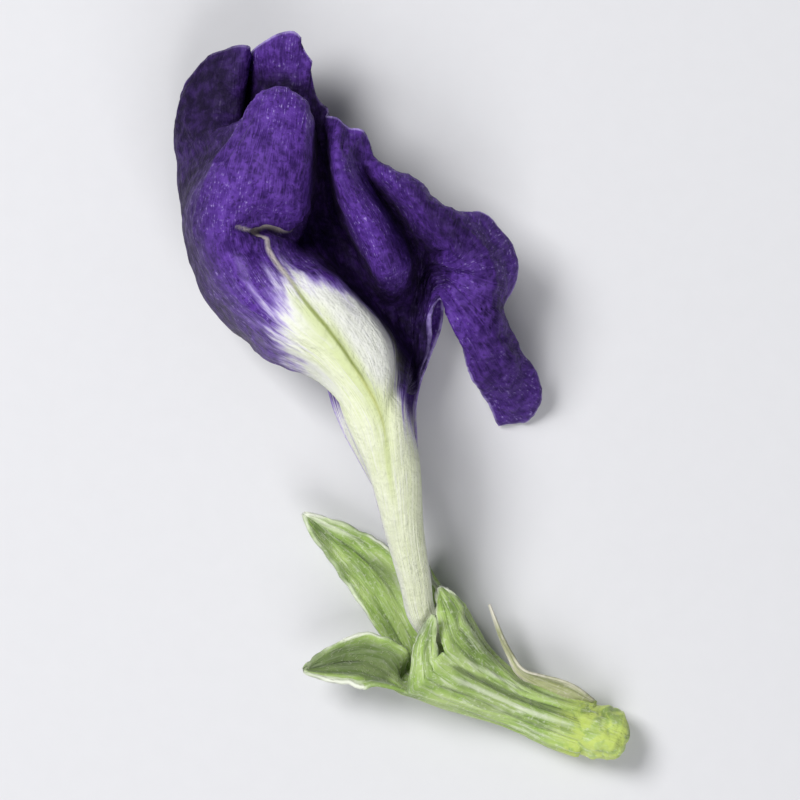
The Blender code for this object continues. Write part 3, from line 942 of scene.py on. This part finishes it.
@dataclass
class Calyx:
    """The calyx: a ribbed tube whose mouth runs out into five pointed sepals.

    Attributes:
        axis: the tube's axis from the stalk to the mouth.
        half_width: its half width at each point of the axis.
        half_height: its half height there.
        sepals: the sepals in order round the mouth.
        grooves: creases in its upper side: how strong each is, then its places as seen from above. They get
            painted shade, and their lips a painted highlight.
        first_sepal: the first sepal's place round the mouth, in degrees.
        groove_depth: how deep a groove of strength 1 is.
        foot: how far up from the stalk it is yellower.
        trough: how hollow a sepal is, against its half width.
        bluntness: the power of the sine that a sepal's outline follows.
    """

    axis: list[Point]
    half_width: list[float]
    half_height: list[float]
    sepals: dict[str, Sepal]
    grooves: list[list]
    first_sepal: float = -25.0
    tube_steps: int = 16
    lobe_columns: int = 40
    lobe_rows: int = 60
    half_wall: float = 0.11
    ribs: int = 10
    rib_height: float = 0.035
    groove_depth: float = 0.10
    groove_steps: int = 16
    foot: float = 2.6
    trough: float = 0.35
    bluntness: float = 0.65

    def sheet(self) -> Tissue:
        """The middle surface of the whole calyx.

        A point of the tube is the axis point plus half the width times the cosine sideways and half the
        height times the sine upwards, swollen by ribs, a cosine of the angle, and by noise. Its rim runs on
        into the sepals.
        """
        measures = (self.axis, self.half_width, self.half_height)
        axis, wide, high = (smooth(measure, self.tube_steps) for measure in measures)
        heading, side, top = frames(axis)
        columns, rows = len(self.sepals) * self.lobe_columns, len(axis)
        first = math.radians(self.first_sepal) - math.pi / len(self.sepals)
        angle = (first + TURN * np.arange(columns) / columns)[None]
        x, y, length = np.cos(angle), np.sin(angle), travelled(axis[:, None], 0)
        noise = Noise(SEED + 2)
        folds = noise.layered(x * 2.2, y * 2.2, length * 0.16)
        pucker = noise.layered(x * 5, y * 5, length * 0.35)
        swell = 1 + self.rib_height * np.cos(self.ribs * angle) + 0.16 * folds + 0.05 * pucker
        ring = (wide[:, None] * x)[..., None] * side[:, None]
        ring = ring + (high[:, None] * y)[..., None] * top[:, None]
        tube = axis[:, None] + swell[..., None] * ring
        sunk = self.sunk(tube[..., :2], FAR * (ring[..., 2] < 0) + 0.08 * pucker)
        tube = tube - self.groove_depth * sunk[..., None] * unit(ring)
        foot = (1 - rise(0.0, self.foot, length)) * np.ones_like(sunk)
        # The mark "hollow" paints shade into the grooves and a highlight onto their raised lips.
        marks = {"grain": vectors(2 * x, 2 * y, length), "edge": np.full(sunk.shape, FAR), "foot": foot,
                 "hollow": np.clip(sunk, -1, 1)}
        even = np.arange(0, columns, 2)
        cap = np.column_stack([(even + 2) % columns, even + 1, even, np.full(len(even), rows * columns)])
        end = {"grain": marks["grain"][:1].mean(axis=1), "edge": [FAR], "foot": [1.0], "hollow": [0.0]}
        base = axis[:1] - 0.15 * heading[:1]
        parts = [grid_tissue(tube, marks, closed=True), Tissue(base, cap, end)]
        count = rows * columns + 1
        place = np.linspace(-1, 1, self.lobe_columns + 1)[None]
        for number, sepal in enumerate(self.sepals.values()):
            own = (number * self.lobe_columns + np.arange(self.lobe_columns + 1)) % columns
            leaf, edge = self.lobe(number, tube[-1][own], sepal)
            fresh = leaf[1:].reshape(-1, 3)
            index = np.concatenate([(rows - 1) * columns + own, count + np.arange(len(fresh))])
            turn = own[len(own) // 2] * TURN / columns + first + place * math.pi / len(self.sepals)
            beyond = length[-1] + travelled(leaf, 0)[1:]
            marks = {"grain": vectors(2 * np.cos(turn), 2 * np.sin(turn), beyond).reshape(-1, 3),
                     "edge": edge[1:].ravel(), "foot": np.zeros(len(fresh)),
                     # Painted shade along the fold and beside it, the darker tone, less the pale strip.
                     "hollow": sepal.shade_and_strip(place, np.linspace(0, 1, len(leaf))[1:, None]).ravel()}
            parts.append(Tissue(fresh, index[grid_quads(len(leaf), len(own))], marks))
            count += len(fresh)
        return joined(parts, apart=False)

    def sunk(self, points: Array, extra: Array) -> Array:
        """How deep points of the tube lie in a groove.

        Across a groove that is a bell curve less a lower one beside it, its lip, with a step at either end.

        Args:
            points: the tube's points as seen from above.
            extra: what is added to their distance from a groove.

        Returns:
            The sum over the grooves of their strength.
        """
        sunk = np.zeros(points.shape[:2])
        for strength, *groove in self.grooves:
            line = smooth(groove, self.groove_steps)
            away = beside(points, line) + extra
            ends = rise(0.0, 1.6, beside(points, line[[0, -1]]))
            sunk = sunk + strength * ends * (bell(away, 0.20) - 0.14 * bell(away - 0.50, 0.16))
        return sunk

    def lobe(self, number: int, rim: Array, sepal: Sepal) -> tuple[Array, Array]:
        """Rows of one sepal, from its arc of the mouth's rim to its tip.

        Its spine is a smooth curve. Across it the sepal is a shallow trough, a square curve that bends to
        the inner side, and its half width is a sine of the way along.

        Args:
            number: which sepal it is.
            rim: the rim points that it grows from.
            sepal: its measures.

        Returns:
            The rows of points, and how far each one is from the margin.
        """
        root = rim[len(rim) // 2]
        spine = smooth([root, sepal.middle, sepal.tip], self.lobe_rows // 2)
        along = np.linspace(0, 1, len(spine))[:, None]
        run = unit(np.gradient(spine, axis=0))
        inner = unit(np.array(sepal.facing) - (run @ np.array(sepal.facing))[:, None] * run)
        across = np.cross(run, inner)
        place = np.linspace(-1, 1, len(rim))[None]
        noise = Noise(SEED + 10 + number)
        uneven = 1 + 0.14 * noise.layered(travelled(spine[:, None], 0) * 0.9, place * 0.9, 7.0)
        width = sepal.half_width * np.sin(np.pi * (0.5 + 0.5 * along) ** 1.3) ** self.bluntness
        width = np.maximum(width, 0.05) * uneven
        bow = place[..., None] * across[:, None] + self.trough * place[..., None] ** 2 * inner[:, None]
        leaf = spine[:, None] + width[..., None] * bow
        rooted = rim + (spine - root)[:, None]
        blend = rise(0, np.interp(place, [-1, 1], sepal.root), along)[..., None]
        rows = rooted * (1 - blend) + leaf * blend
        run_length = travelled(rows, 0)
        ripple = 0.16 * noise.layered(place * 2.2, run_length * 0.3)
        ripple = ripple + 0.25 * noise.layered(place * 0.8, run_length * 0.7, 5.0) * place**2
        grow = rise(0.0, 0.5, along) * (1 - 0.7 * rise(0.85, 1, along))
        fold = 0.30 * sepal.fold * bell(place - FOLD_PLACE, 0.16) * rise(0.1, 0.4, along)
        rows = rows + inner[:, None] * (ripple * grow - fold)[..., None]
        edge = width * (1 - np.abs(place)) + 3.0 * (1 - rise(0.0, 0.3, along))
        return rows, edge + 0.14 * (1 - rise(0.2, 0.9, along))


@dataclass
class Down:
    """The fine pale hairs that lie along the calyx.

    Attributes:
        count: how many there are.
        lengths: the shortest and the longest.
        lift: how far they stand off the leaf, against how far they lie along it.
        width: half their width at the root.
    """

    count: int = 4200
    lengths: tuple[float, float] = (0.08, 0.24)
    lift: float = 0.4
    width: float = 0.008

    def skin(self, leaf: Tissue, half_wall: float) -> Tissue:
        """The hairs, strewn evenly by area over both sides of a leaf.

        Args:
            leaf: the leaf's middle surface, whose quads run across and then along it.
            half_wall: half its thickness.

        Returns:
            All the hairs in one skin.
        """
        chance = np.random.default_rng(SEED + 7)
        face = leaf.faces()
        area = np.linalg.norm(face, axis=1)
        picked = chance.choice(len(face), self.count, p=area / area.sum())
        near, far, far_up, near_up = np.moveaxis(leaf.points[leaf.quads[picked]], 1, 0)
        side = chance.choice([-1.0, 1.0], self.count, p=[0.4, 0.6])[:, None]
        a, b = chance.uniform(size=(2, self.count, 1))
        low, high = near * (1 - a) + far * a, near_up * (1 - a) + far_up * a
        off = side * unit(face[picked])
        roots = low * (1 - b) + high * b + off * (half_wall - 0.01)
        ways = unit(high - low) + chance.normal(0, 0.25, (self.count, 3)) + self.lift * off
        lengths = chance.uniform(*self.lengths, self.count)
        skin = hairs(roots, ways, lengths, self.width, chance.normal(0, 0.03, (self.count, 3)))
        skin.points[:, 2] = np.maximum(skin.points[:, 2], 0.01)
        return skin


@dataclass
class Pedicel:
    """The cut, knobbly end of the stalk, given as x, y, z and radius along it."""

    stations: list[tuple]
    sides: int = 64
    steps: int = 14

    def skin(self) -> Tissue:
        """The stalk's end: rings round its axis whose radius is uneven by layered noise."""
        rings, out, axis = rod_rings(self.stations, self.sides, self.steps)
        along = travelled(axis[:, None], 0) * np.ones(rings.shape[:2])
        noise = Noise(SEED + 3)
        knobs = 0.32 * noise.layered(out[..., 0] * 1.5, out[..., 1] * 1.5, along * 1.1)
        knobs = knobs + 0.06 * noise.layered(out[..., 0] * 5.0, out[..., 1] * 5.0, along * 3.5)
        rings = rings + out * (knobs * rise(0.3, 1.4, along))[..., None]
        marks = {"grain": vectors(out[..., 0] * 1.4, out[..., 1] * 1.4, along), "edge": 0 * along + FAR,
                 "foot": 0 * along + 1.0, "hollow": 0 * along}
        return rings_tissue(rings, marks)


# Stamens and pistil.


def anther(thread: Array, lean: Array, reach: float, length: float, radius: float) -> Tissue:
    """An anther: an ellipsoid with a groove down each side, a cosine of twice the angle on its radius.

    Args:
        thread: the end of its thread.
        lean: the direction that it leans in.
        reach: how far its middle is from that end.
        length: its length.
        radius: its largest radius.

    Returns:
        Its closed skin.
    """
    along = unit(lean)
    turn = np.linspace(0.08, math.pi - 0.08, 12)[:, None]
    axis = thread + reach * along - np.cos(turn) * along * length / 2
    stations = np.concatenate([axis, np.sin(turn) * radius], axis=1)
    return rod(stations, 16, 1, head=1.0, ridges=2, ridge_height=0.22)


@dataclass
class Stamens:
    """Nine stamens joined into a column, with free ends that each bear an anther.

    Attributes:
        column: x, y, z and radius along the column and on to the anthers.
        joined_to: how many of these stations the column itself has.
        threads: how many stamens there are.
    """

    column: list[tuple]
    joined_to: int = 7
    threads: int = 9

    def skin(self) -> Tissue:
        """The column with nine ridges, and nine threads that part from it to the anthers."""
        column = np.array(self.column)
        trunk = column[: self.joined_to] * [1, 1, 1, 0.92]
        parts = [rod(trunk, 72, 10, ridges=self.threads, ridge_height=0.10)]
        _, side, top = frames(column[:, :3])
        chance = np.random.default_rng(SEED)
        start = self.joined_to - 2
        reach = np.linspace(0.30, 0.62, len(column) - start)[:, None]
        for number in range(self.threads):
            angle = TURN * (number + 0.5) / self.threads
            out = math.cos(angle) * side[start:] + math.sin(angle) * top[start:]
            path = (column[start:, :3] + out * column[start:, 3:] * reach)[: -1 - number % 2]
            radius = np.linspace(0.10, 0.07, len(path))[:, None]
            lean = path[-1] - path[-2] + chance.normal(0, 0.12, 3)
            parts.append(rod(np.concatenate([path, radius], axis=1), 10, 6))
            parts.append(anther(path[-1], lean, 0.18, 0.62, 0.17))
        return joined(parts)


@dataclass
class FreeStamen:
    """The tenth stamen, which lies free over the column, given as the points of its thread."""

    thread: list[Point]

    def skin(self) -> Tissue:
        """The thread and its anther."""
        thread = np.array(self.thread)
        radius = np.linspace(0.17, 0.10, len(thread))[:, None]
        parts = [rod(np.concatenate([thread, radius], axis=1), 14, 8)]
        return joined(parts + [anther(thread[-1], thread[-1] - thread[-2], 0.15, 0.8, 0.22)])


@dataclass
class Pistil:
    """The tip of the style with its beard and stigma.

    Attributes:
        style: x, y, z and radius along the style.
        beard: how many hairs it has.
    """

    style: list[tuple]
    beard: int = 260
    sides: int = 24
    steps: int = 12

    def skin(self) -> Tissue:
        """The style, and a beard of hairs along its upper half."""
        rings, out, _ = rod_rings(self.style, self.sides, self.steps)
        chance = np.random.default_rng(SEED + 4)
        row = chance.integers(8, len(rings) - 1, self.beard)
        column = chance.integers(0, self.sides, self.beard)
        lean = out[row, column] + chance.normal(0, 0.35, (self.beard, 3))
        lengths = chance.uniform(0.15, 0.32, self.beard)
        beard = hairs(rings[row, column], lean, lengths, 0.012, chance.normal(0, 0.04, (self.beard, 3)))
        return joined([rod(self.style, self.sides, self.steps, ridges=3, ridge_height=0.06), beard])


# The studio.


@dataclass
class Studio:
    """A plain pale floor, soft light and a camera straight above, as in the photo, in metres.

    Attributes:
        lights: the name, place, size and power of each square lamp.
        sky: the colour of the light from all round.
        sky_strength: how strong it is.
    """

    view_width: float = 0.0445
    camera_height: float = 0.42
    sensor: float = 36.0
    floor_half: float = 0.6
    floor_colour: Colour = (0.68, 0.68, 0.70)
    lights: tuple = (("key", (-0.17, 0.12, 0.30), 0.15, 1.2), ("fill", (0.05, -0.26, 0.27), 0.26, 0.80))
    sky: Colour = (0.86, 0.88, 0.95)
    sky_strength: float = 0.18

    def build(self) -> None:
        """Sets up the floor, the lights and the camera."""
        self.floor()
        for light in self.lights:
            self.light(*light)
        world = bpy.data.worlds.new("studio")
        world.use_nodes = True
        colour, strength = world.node_tree.nodes["Background"].inputs[:2]
        colour.default_value, strength.default_value = (*self.sky, 1.0), self.sky_strength
        bpy.context.scene.world = world
        bpy.context.scene.view_settings.view_transform = "Standard"
        self.camera()

    def floor(self) -> None:
        """A level sheet of pale card under the flower."""
        half = self.floor_half
        corners = [(-half, -half, 0), (half, -half, 0), (half, half, 0), (-half, half, 0)]
        data = bpy.data.meshes.new("floor")
        data.from_pydata(corners, [], [(0, 1, 2, 3)])
        g = Graph("pale_card")
        tone = g.noise(g.place, 900.0, 3.0)
        colour = g.mix(tone, self.floor_colour, tuple(0.97 * c for c in self.floor_colour))
        data.materials.append(g.finish(colour, g.relief((tone, 0.00001)), 0.85))
        show("floor", data)

    def light(self, name: str, place: Point, size: float, power: float) -> None:
        """A square soft light that looks at the flower."""
        data = bpy.data.lights.new(name, "AREA")
        data.size, data.energy = size, power
        obj = show(name, data)
        obj.location = place
        obj.rotation_euler = (-Vector(place)).to_track_quat("-Z", "Y").to_euler()

    def camera(self) -> None:
        """A camera straight above the flower, with the flower's far end at the top of the view."""
        data = bpy.data.cameras.new("camera")
        data.sensor_width = self.sensor
        data.lens = self.sensor * self.camera_height / self.view_width
        data.clip_start = 0.01
        obj = show("camera", data)
        obj.location = (0.0, 0.0, self.camera_height)
        bpy.context.scene.camera = obj


# The flower's measures, in millimetres and degrees.

PEDICEL = [
    (9.7, -18.2, 1.4, 1.05), (10.2, -18.37, 1.45, 1.4), (10.7, -18.53, 1.52, 1.5),
    (11.2, -18.7, 1.58, 1.58), (11.6, -18.83, 1.58, 1.56), (11.95, -18.95, 1.55, 1.42),
    (12.15, -19.0, 1.5, 1.15), (12.25, -19.03, 1.45, 0.5),
]

CALYX = Calyx(
    axis=[(10.3, -18.4, 1.4), (8.5, -17.8, 1.45), (6.1, -16.85, 1.6), (3.7, -15.5, 2.1), (1.8, -14.1, 2.7)],
    half_width=[1.5, 1.45, 1.4, 2.0, 2.8],
    half_height=[1.35, 1.35, 1.45, 1.95, 2.4],
    sepals={
        "right": Sepal((1.6, -10.2, 1.6), (0.7, -7.9, 2.0), 1.0, (-0.45, -0.78, 0.42)),
        "upper_right": Sepal((2.85, -11.7, 4.2), (2.15, -10.5, 4.2), 0.95, (-0.3, -0.2, -0.95), fold=0.3,
                             strip=(0.1, 0.5)),
        "upper_left": Sepal((1.35, -13.9, 5.0), (1.85, -12.0, 5.4), 0.7, (0.25, 0.1, -1.0), fold=0.0,
                            strip=(0.0, 0.5), root=(0.35, 0.35)),
        "lower_left": Sepal((-1.9, -14.8, 2.3), (-5.3, -15.1, 3.2), 1.8, (0.1, 0.3, 1.0), fold=0.6,
                            dark=1.0, strip=(1.2, -0.85), root=(0.6, 0.25)),
        "lower_right": Sepal((-1.5, -9.75, 0.8), (-5.3, -6.5, 2.4), 1.8, (0.0, 0.0, 1.0), fold=0.8,
                             strip=(0.5, 0.5), shade=0.9),
    },
    grooves=[
        [2.2, (2.4, -14.5), (4.4, -15.6), (7.0, -16.8), (10.6, -18.0)],
        [0.7, (0.8, -15.6), (3.6, -16.4), (6.4, -17.6), (9.6, -18.9)],
        [0.9, (5.6, -15.2), (7.0, -16.0), (8.6, -16.7), (10.6, -17.3)],
    ],
)

CLAW = [
    (3.9, -15.1, 2.5, 0.55, 80, 0.0), (2.6, -13.8, 3.1, 0.65, 85, 0.0), (1.25, -12.1, 3.9, 0.75, 90, 0.0),
    (0.8, -10.0, 5.0, 0.85, 90, 0.1), (0.2, -7.2, 6.1, 1.05, 90, 0.3), (-0.35, -3.9, 7.0, 1.4, 90, 1.0),
    (-1.4, -0.6, 7.7, 1.75, 90, 2.8),
]

FOLDS = {
    "left_edge": [-3.6, 1.2, 5.6, -5.2, 3.2, 2.8, -6.2, 6.2, 0.8, -7.0, 9.4, 0.1, -8.2, 12.2, 0.1,
        -9.1, 13.8, 0.5, -9.7, 15.0, 1.3],
    "left_floor": [-4.0, 1.0, 6.3, -6.3, 2.7, 3.7, -8.6, 5.7, 1.3, -9.7, 9.2, 0.1, -10.6, 12.3, 0.1,
        -11.1, 14.3, 0.8, -11.1, 16.3, 1.9],
    "left_under": [-4.4, 0.9, 7.2, -7.4, 2.3, 5.2, -10.2, 5.0, 3.4, -11.7, 8.8, 2.4, -12.2, 12.4, 2.4,
        -12.3, 14.8, 2.7, -11.9, 17.3, 3.0],
    "left_face": [-4.3, 1.6, 8.7, -7.6, 3.6, 7.9, -10.7, 7.1, 7.6, -11.2, 10.7, 7.8, -9.4, 13.8, 7.6,
        -10.6, 15.0, 4.9, -10.3, 18.9, 4.2],
    "lobe_rim": [-4.1, 1.9, 9.3, -7.3, 4.2, 9.0, -10.1, 7.7, 9.1, -10.2, 11.2, 9.6, -8.4, 15.1, 8.7,
        -8.9, 15.1, 5.2, -8.5, 19.3, 5.1],
    "notch": [-3.7, 2.1, 9.7, -6.9, 4.8, 9.8, -9.3, 8.2, 9.7, -9.0, 11.6, 10.4, -7.7, 16.0, 9.1,
        -8.9, 15.0, 3.7, -9.0, 18.3, 2.9],
    "midrib": [-3.0, 2.4, 9.9, -5.5, 5.6, 9.9, -7.7, 8.9, 8.3, -7.3, 11.7, 11.0, -6.5, 16.7, 9.3,
        -7.5, 15.7, 5.0, -7.6, 19.4, 4.9],
    "hollow_rim": [-0.9, 2.9, 8.8, -3.6, 6.2, 9.0, -5.9, 8.4, 6.3, -5.4, 10.9, 9.9, -5.0, 15.6, 9.0,
        -6.0, 15.4, 5.6, -5.6, 19.9, 6.2],
    "hollow": [-0.6, 3.2, 6.2, -3.0, 6.1, 5.4, -4.6, 8.6, 4.6, -4.7, 11.4, 4.8, -4.7, 13.8, 4.9,
        -4.9, 14.8, 4.7, -4.7, 16.8, 5.0],
    "ridge_foot": [-0.3, 3.0, 4.4, -1.7, 5.5, 3.4, -2.5, 7.9, 3.8, -3.5, 10.2, 4.2, -3.9, 12.2, 4.5,
        -4.0, 13.7, 4.8, -4.0, 15.6, 5.4],
    "ridge": [0.1, 2.8, 3.4, -0.8, 5.2, 3.6, -1.2, 6.9, 7.7, -2.1, 9.1, 8.8, -3.2, 11.3, 8.9,
        -3.6, 13.3, 8.4, -3.4, 15.2, 7.3],
    "ridge_back": [0.5, 2.5, 3.0, 0.0, 5.0, 3.1, 0.0, 7.2, 7.4, -1.0, 9.5, 8.4, -2.4, 11.6, 8.5,
        -2.9, 13.2, 8.1, -2.5, 14.8, 7.2],
    "groove": [0.55, 2.2, 3.0, 0.6, 4.9, 2.6, 0.8, 7.5, 3.7, -0.1, 9.7, 4.4, -1.55, 11.6, 5.9,
        -2.05, 12.8, 6.5, -1.8, 14.3, 6.6],
    "flap_wall": [0.66, 2.05, 2.95, 0.8, 4.8, 2.5, 1.2, 7.6, 3.5, 0.8, 9.6, 6.2, -0.65, 11.85, 7.8,
        -1.0, 12.75, 6.9, -1.0, 12.9, 5.6],
    "flap_inner": [0.72, 1.95, 2.95, 0.95, 4.7, 2.55, 1.45, 7.45, 3.6, 2.0, 8.8, 7.1, 1.0, 10.7, 7.95,
        0.85, 11.5, 7.2, 0.8, 11.6, 5.9],
    "flap_crest": [0.78, 1.8, 3.0, 1.1, 4.6, 2.65, 1.65, 7.2, 3.8, 2.8, 8.0, 7.5, 2.7, 9.2, 8.0,
        2.9, 9.9, 7.3, 2.9, 10.0, 6.1],
    "flap_shoulder": [0.83, 1.65, 3.1, 1.2, 4.5, 2.8, 1.8, 7.0, 3.95, 3.1, 7.4, 7.2, 4.0, 8.4, 7.6,
        4.4, 9.1, 6.7, 4.6, 9.7, 5.4],
    "flap_bulge": [0.87, 1.45, 3.2, 1.3, 4.3, 3.0, 1.9, 6.8, 4.1, 3.2, 6.9, 6.8, 4.7, 7.0, 7.0,
        5.6, 7.1, 5.9, 6.2, 7.1, 4.2],
    "flap_side": [0.9, 1.25, 3.35, 1.38, 4.1, 3.15, 1.95, 6.5, 4.2, 3.1, 6.5, 6.3, 4.5, 5.6, 6.7,
        5.4, 4.9, 5.6, 5.9, 4.4, 3.9],
    "flap_waist": [0.92, 1.05, 3.5, 1.45, 3.9, 3.3, 2.0, 6.2, 4.3, 3.15, 6.2, 5.9, 4.5, 4.5, 6.5,
        5.6, 3.1, 5.2, 6.5, 2.6, 3.2],
    "flap_low": [0.93, 0.8, 3.65, 1.5, 3.65, 3.45, 2.0, 5.8, 4.35, 2.9, 5.7, 5.4, 4.4, 3.9, 6.1,
        5.8, 1.9, 4.6, 7.7, 0.5, 1.8],
    "flap_hem": [0.93, 0.55, 3.8, 1.5, 3.4, 3.55, 2.0, 5.4, 4.35, 2.65, 5.4, 5.1, 3.7, 3.4, 5.6,
        5.0, 1.1, 4.2, 7.2, -1.4, 0.6],
    "right_edge": [0.9, 0.3, 3.95, 1.5, 3.2, 3.65, 1.95, 5.1, 4.3, 2.4, 5.1, 4.7, 3.2, 3.1, 5.0,
        4.1, 0.9, 3.6, 5.5, -1.5, 0.2],
}
# One row a fold line.
PALE_TO = [7.0, 7.1, 7.3, 7.55, 7.75, 7.9, 8.2, 7.8, 6.8, 6.3, 6.0, 5.8, 5.7, 5.6] + [5.5] * 9

# Places are a fold line's number from the left and a row, where the blade's root is row 7.
CREASES = [
    Crease(0.30, 0.30, 0.75, [(6.0, 9.0), (5.7, 9.1), (5.4, 9.22)]),
    Crease(0.00, 0.30, 1.00, [(6.0, 8.3), (6.0, 8.7), (6.0, 9.05)]),
    Crease(0.55, 0.36, 1.00, [(6.0, 9.05), (6.35, 9.18), (6.7, 9.2), (7.0, 9.3), (7.25, 9.55)]),
    Crease(0.30, 0.35, 0.00, [(5.0, 10.9), (4.5, 10.6), (4.0, 10.4)]),
    Crease(0.12, 0.28, 0.00, [(6.5, 9.6), (6.6, 10.1), (6.5, 10.7)]),
    Crease(0.12, 0.28, 0.00, [(5.5, 9.6), (5.7, 10.1), (5.6, 10.6)]),
    Crease(0.10, 0.25, 0.00, [(4.4, 8.2), (4.2, 9.0), (4.4, 9.8)]),
    Crease(0.22, 0.30, 0.00, [(17.0, 9.3), (17.4, 10.0), (17.5, 10.8)]),
    Crease(0.22, 0.30, 0.00, [(19.0, 9.4), (19.4, 10.2), (19.5, 11.2)]),
    Crease(0.18, 0.28, 0.00, [(20.6, 9.6), (20.7, 10.4), (20.6, 11.4)]),
    Crease(0.15, 0.25, 0.00, [(14.5, 9.4), (14.8, 10.0), (14.7, 10.6)]),
    Crease(-0.05, 0.15, 0.40, [(13.0, 11.0), (15.0, 11.15), (17.0, 11.3), (19.0, 11.4)]),
]

# Patches of painted shade, as how dark, fold line, row, half width and length on the net: over the back-left
# lobe, the pocket under the front lobe, the hollow, the left side, the low sheet at the flap's root and the
# claw's foot, and more over the flap.
SHADE_PATCHES = [
    (0.95, 3.0, 12.4, 1.4, 1.2), (0.65, 7.3, 9.0, 0.75, 0.38), (0.55, 9.0, 9.2, 0.8, 1.6),
    (0.7, 1.6, 9.7, 1.2, 2.6), (1.0, 19.0, 7.4, 5.0, 1.4), (0.42, 16.5, 11.6, 6.0, 2.0),
    (0.25, 7.0, 12.6, 1.0, 0.8), (0.5, 3.4, 9.4, 1.2, 1.2), (0.34, 15.0, 10.6, 1.4, 1.0),
    (0.28, 20.5, 12.4, 2.0, 1.3), (0.5, 11.0, 0.6, 30.0, 1.3),
]

WING_LEFT = [
    (0.5, -11.0, 3.2, 0.3, 90, 0), (0.1, -9.0, 4.1, 0.3, 90, 0), (-0.6, -6.5, 4.7, 0.35, 90, 0),
    (-1.75, -4.2, 4.8, 0.45, 80, 5), (-2.8, -1.8, 4.2, 0.6, 60, 10), (-3.4, 0.8, 3.0, 0.75, 35, 20),
    (-3.4, 3.4, 1.9, 1.15, 10, 30), (-3.3, 6.2, 1.8, 1.7, 0, 30), (-3.4, 8.6, 1.9, 1.4, 0, 20),
    (-3.3, 10.0, 2.2, 0.3, 0, 5),
]
WING_RIGHT = [
    (1.6, -10.4, 3.5, 0.3, 90, 0), (1.2, -8.6, 4.0, 0.3, 90, 0), (0.9, -6.5, 4.2, 0.35, 90, 0),
    (0.95, -4.2, 4.0, 0.4, 90, 0), (0.8, -2.2, 3.0, 0.5, 75, 5), (0.5, -0.2, 1.9, 0.7, 45, 10),
    (0.5, 2.0, 1.3, 1.1, 10, 20), (0.8, 4.4, 1.2, 1.6, 0, 20), (0.9, 6.6, 1.3, 1.2, 0, 15),
    (0.9, 8.0, 1.6, 0.3, 0, 5),
]
KEEL = [
    (0.7, -9.8, 2.9, 0.4, 0, 10), (0.15, -7.2, 3.6, 0.4, 0, 20), (-0.4, -4.6, 3.6, 0.5, 0, 50),
    (-0.95, -2.4, 3.2, 0.85, 0, 110), (-1.35, -0.4, 2.8, 1.05, 0, 140), (-1.5, 1.0, 2.8, 0.9, 0, 110),
    (-1.6, 2.2, 3.1, 0.3, 0, 30),
]
BRACTEOLE = [
    (10.6, -16.95, 1.9, 0.35, 50, 10), (9.3, -16.3, 2.35, 0.7, 40, 40), (7.9, -15.75, 2.4, 0.65, 45, 60),
    (6.8, -15.2, 2.35, 0.55, 60, 80), (6.2, -14.3, 2.25, 0.42, 70, 90), (5.65, -13.2, 2.2, 0.3, 75, 100),
    (4.95, -11.5, 2.3, 0.1, 80, 100),
]
STAMENS = [
    (2.9, -14.0, 2.0, 0.3), (1.4, -12.1, 3.0, 0.45), (0.8, -10.0, 4.0, 0.45), (0.2, -7.2, 4.9, 0.45),
    (-0.35, -3.9, 5.4, 0.45), (-1.1, -1.6, 5.3, 0.45), (-1.6, 0.2, 5.0, 0.5), (-1.85, 1.2, 4.9, 0.85),
    (-2.0, 2.0, 4.8, 0.8), (-2.15, 2.7, 4.75, 0.25),
]
FREE_STAMEN = [
    (0.4, -8.2, 5.6), (0.2, -7.2, 5.9), (-0.4, -3.9, 6.4), (-1.15, -1.6, 6.35), (-1.6, 0.2, 6.25),
    (-1.8, 0.9, 6.35),
]
PISTIL = [(-2.3, 3.2, 4.75, 0.2), (-2.8, 4.3, 4.8, 0.24), (-3.5, 5.3, 5.0, 0.28), (-4.0, 5.9, 5.2, 0.16)]


def main() -> None:
    """Builds the flower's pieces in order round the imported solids."""
    logging.basicConfig(level=logging.INFO, format="%(name)s: %(message)s")
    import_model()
    petal = PetalFinish("violet_petal").material()
    leaf = LeafFinish("calyx_green").material()
    stalk = LeafFinish("stalk_green").material()
    rolled = LeafFinish("rolled_leaf_tan", (0.30, 0.33, 0.13), (0.13, 0.12, 0.06), (0.53, 0.53, 0.33),
                        (0.70, 0.66, 0.57)).material()
    thread = ThreadFinish("stamen_cream", (0.62, 0.60, 0.42), (0.55, 0.42, 0.14)).material()
    down = ThreadFinish("pale_down", (0.62, 0.68, 0.42), (0.80, 0.82, 0.70)).material()
    style = ThreadFinish("style_green", (0.36, 0.42, 0.16), (0.70, 0.70, 0.58)).material()
    calyx = CALYX.sheet()
    for piece in (
        ("pedicel_end", Pedicel(PEDICEL).skin(), stalk, Slot.STALK, "pedicel"),
        ("calyx_leaf", calyx.thick(CALYX.half_wall), leaf, Slot.CALYX, "calyx"),
        ("calyx_down", Down().skin(calyx, CALYX.half_wall), down, Slot.CALYX, ""),
        ("bracteole_leaf", SmallPetal(BRACTEOLE, seed=19, wave=0.05).skin(), rolled, Slot.CALYX,
         "bracteole"),
        ("banner_petal", Banner(CLAW, FOLDS, PALE_TO, CREASES, SHADE_PATCHES).skin(), petal, Slot.PETAL, "banner"),
        ("wing_petal_left", SmallPetal(WING_LEFT, seed=20).skin(), petal, Slot.PETAL, "wing_left"),
        ("wing_petal_right", SmallPetal(WING_RIGHT, seed=21).skin(), petal, Slot.PETAL, "wing_right"),
        ("keel_petal", SmallPetal(KEEL, seed=15, pale_to=0.85).skin(), petal, Slot.KEEL, "keel"),
        ("stamen_column", Stamens(STAMENS).skin(), thread, Slot.STAMEN, "stamens"),
        ("free_stamen_thread", FreeStamen(FREE_STAMEN).skin(), thread, Slot.STAMEN, "free_stamen"),
        ("pistil_style", Pistil(PISTIL).skin(), style, Slot.PISTIL, "pistil"),
    ):
        add_piece(*piece)
    Studio().build()


if __name__ == "__main__":
    main()
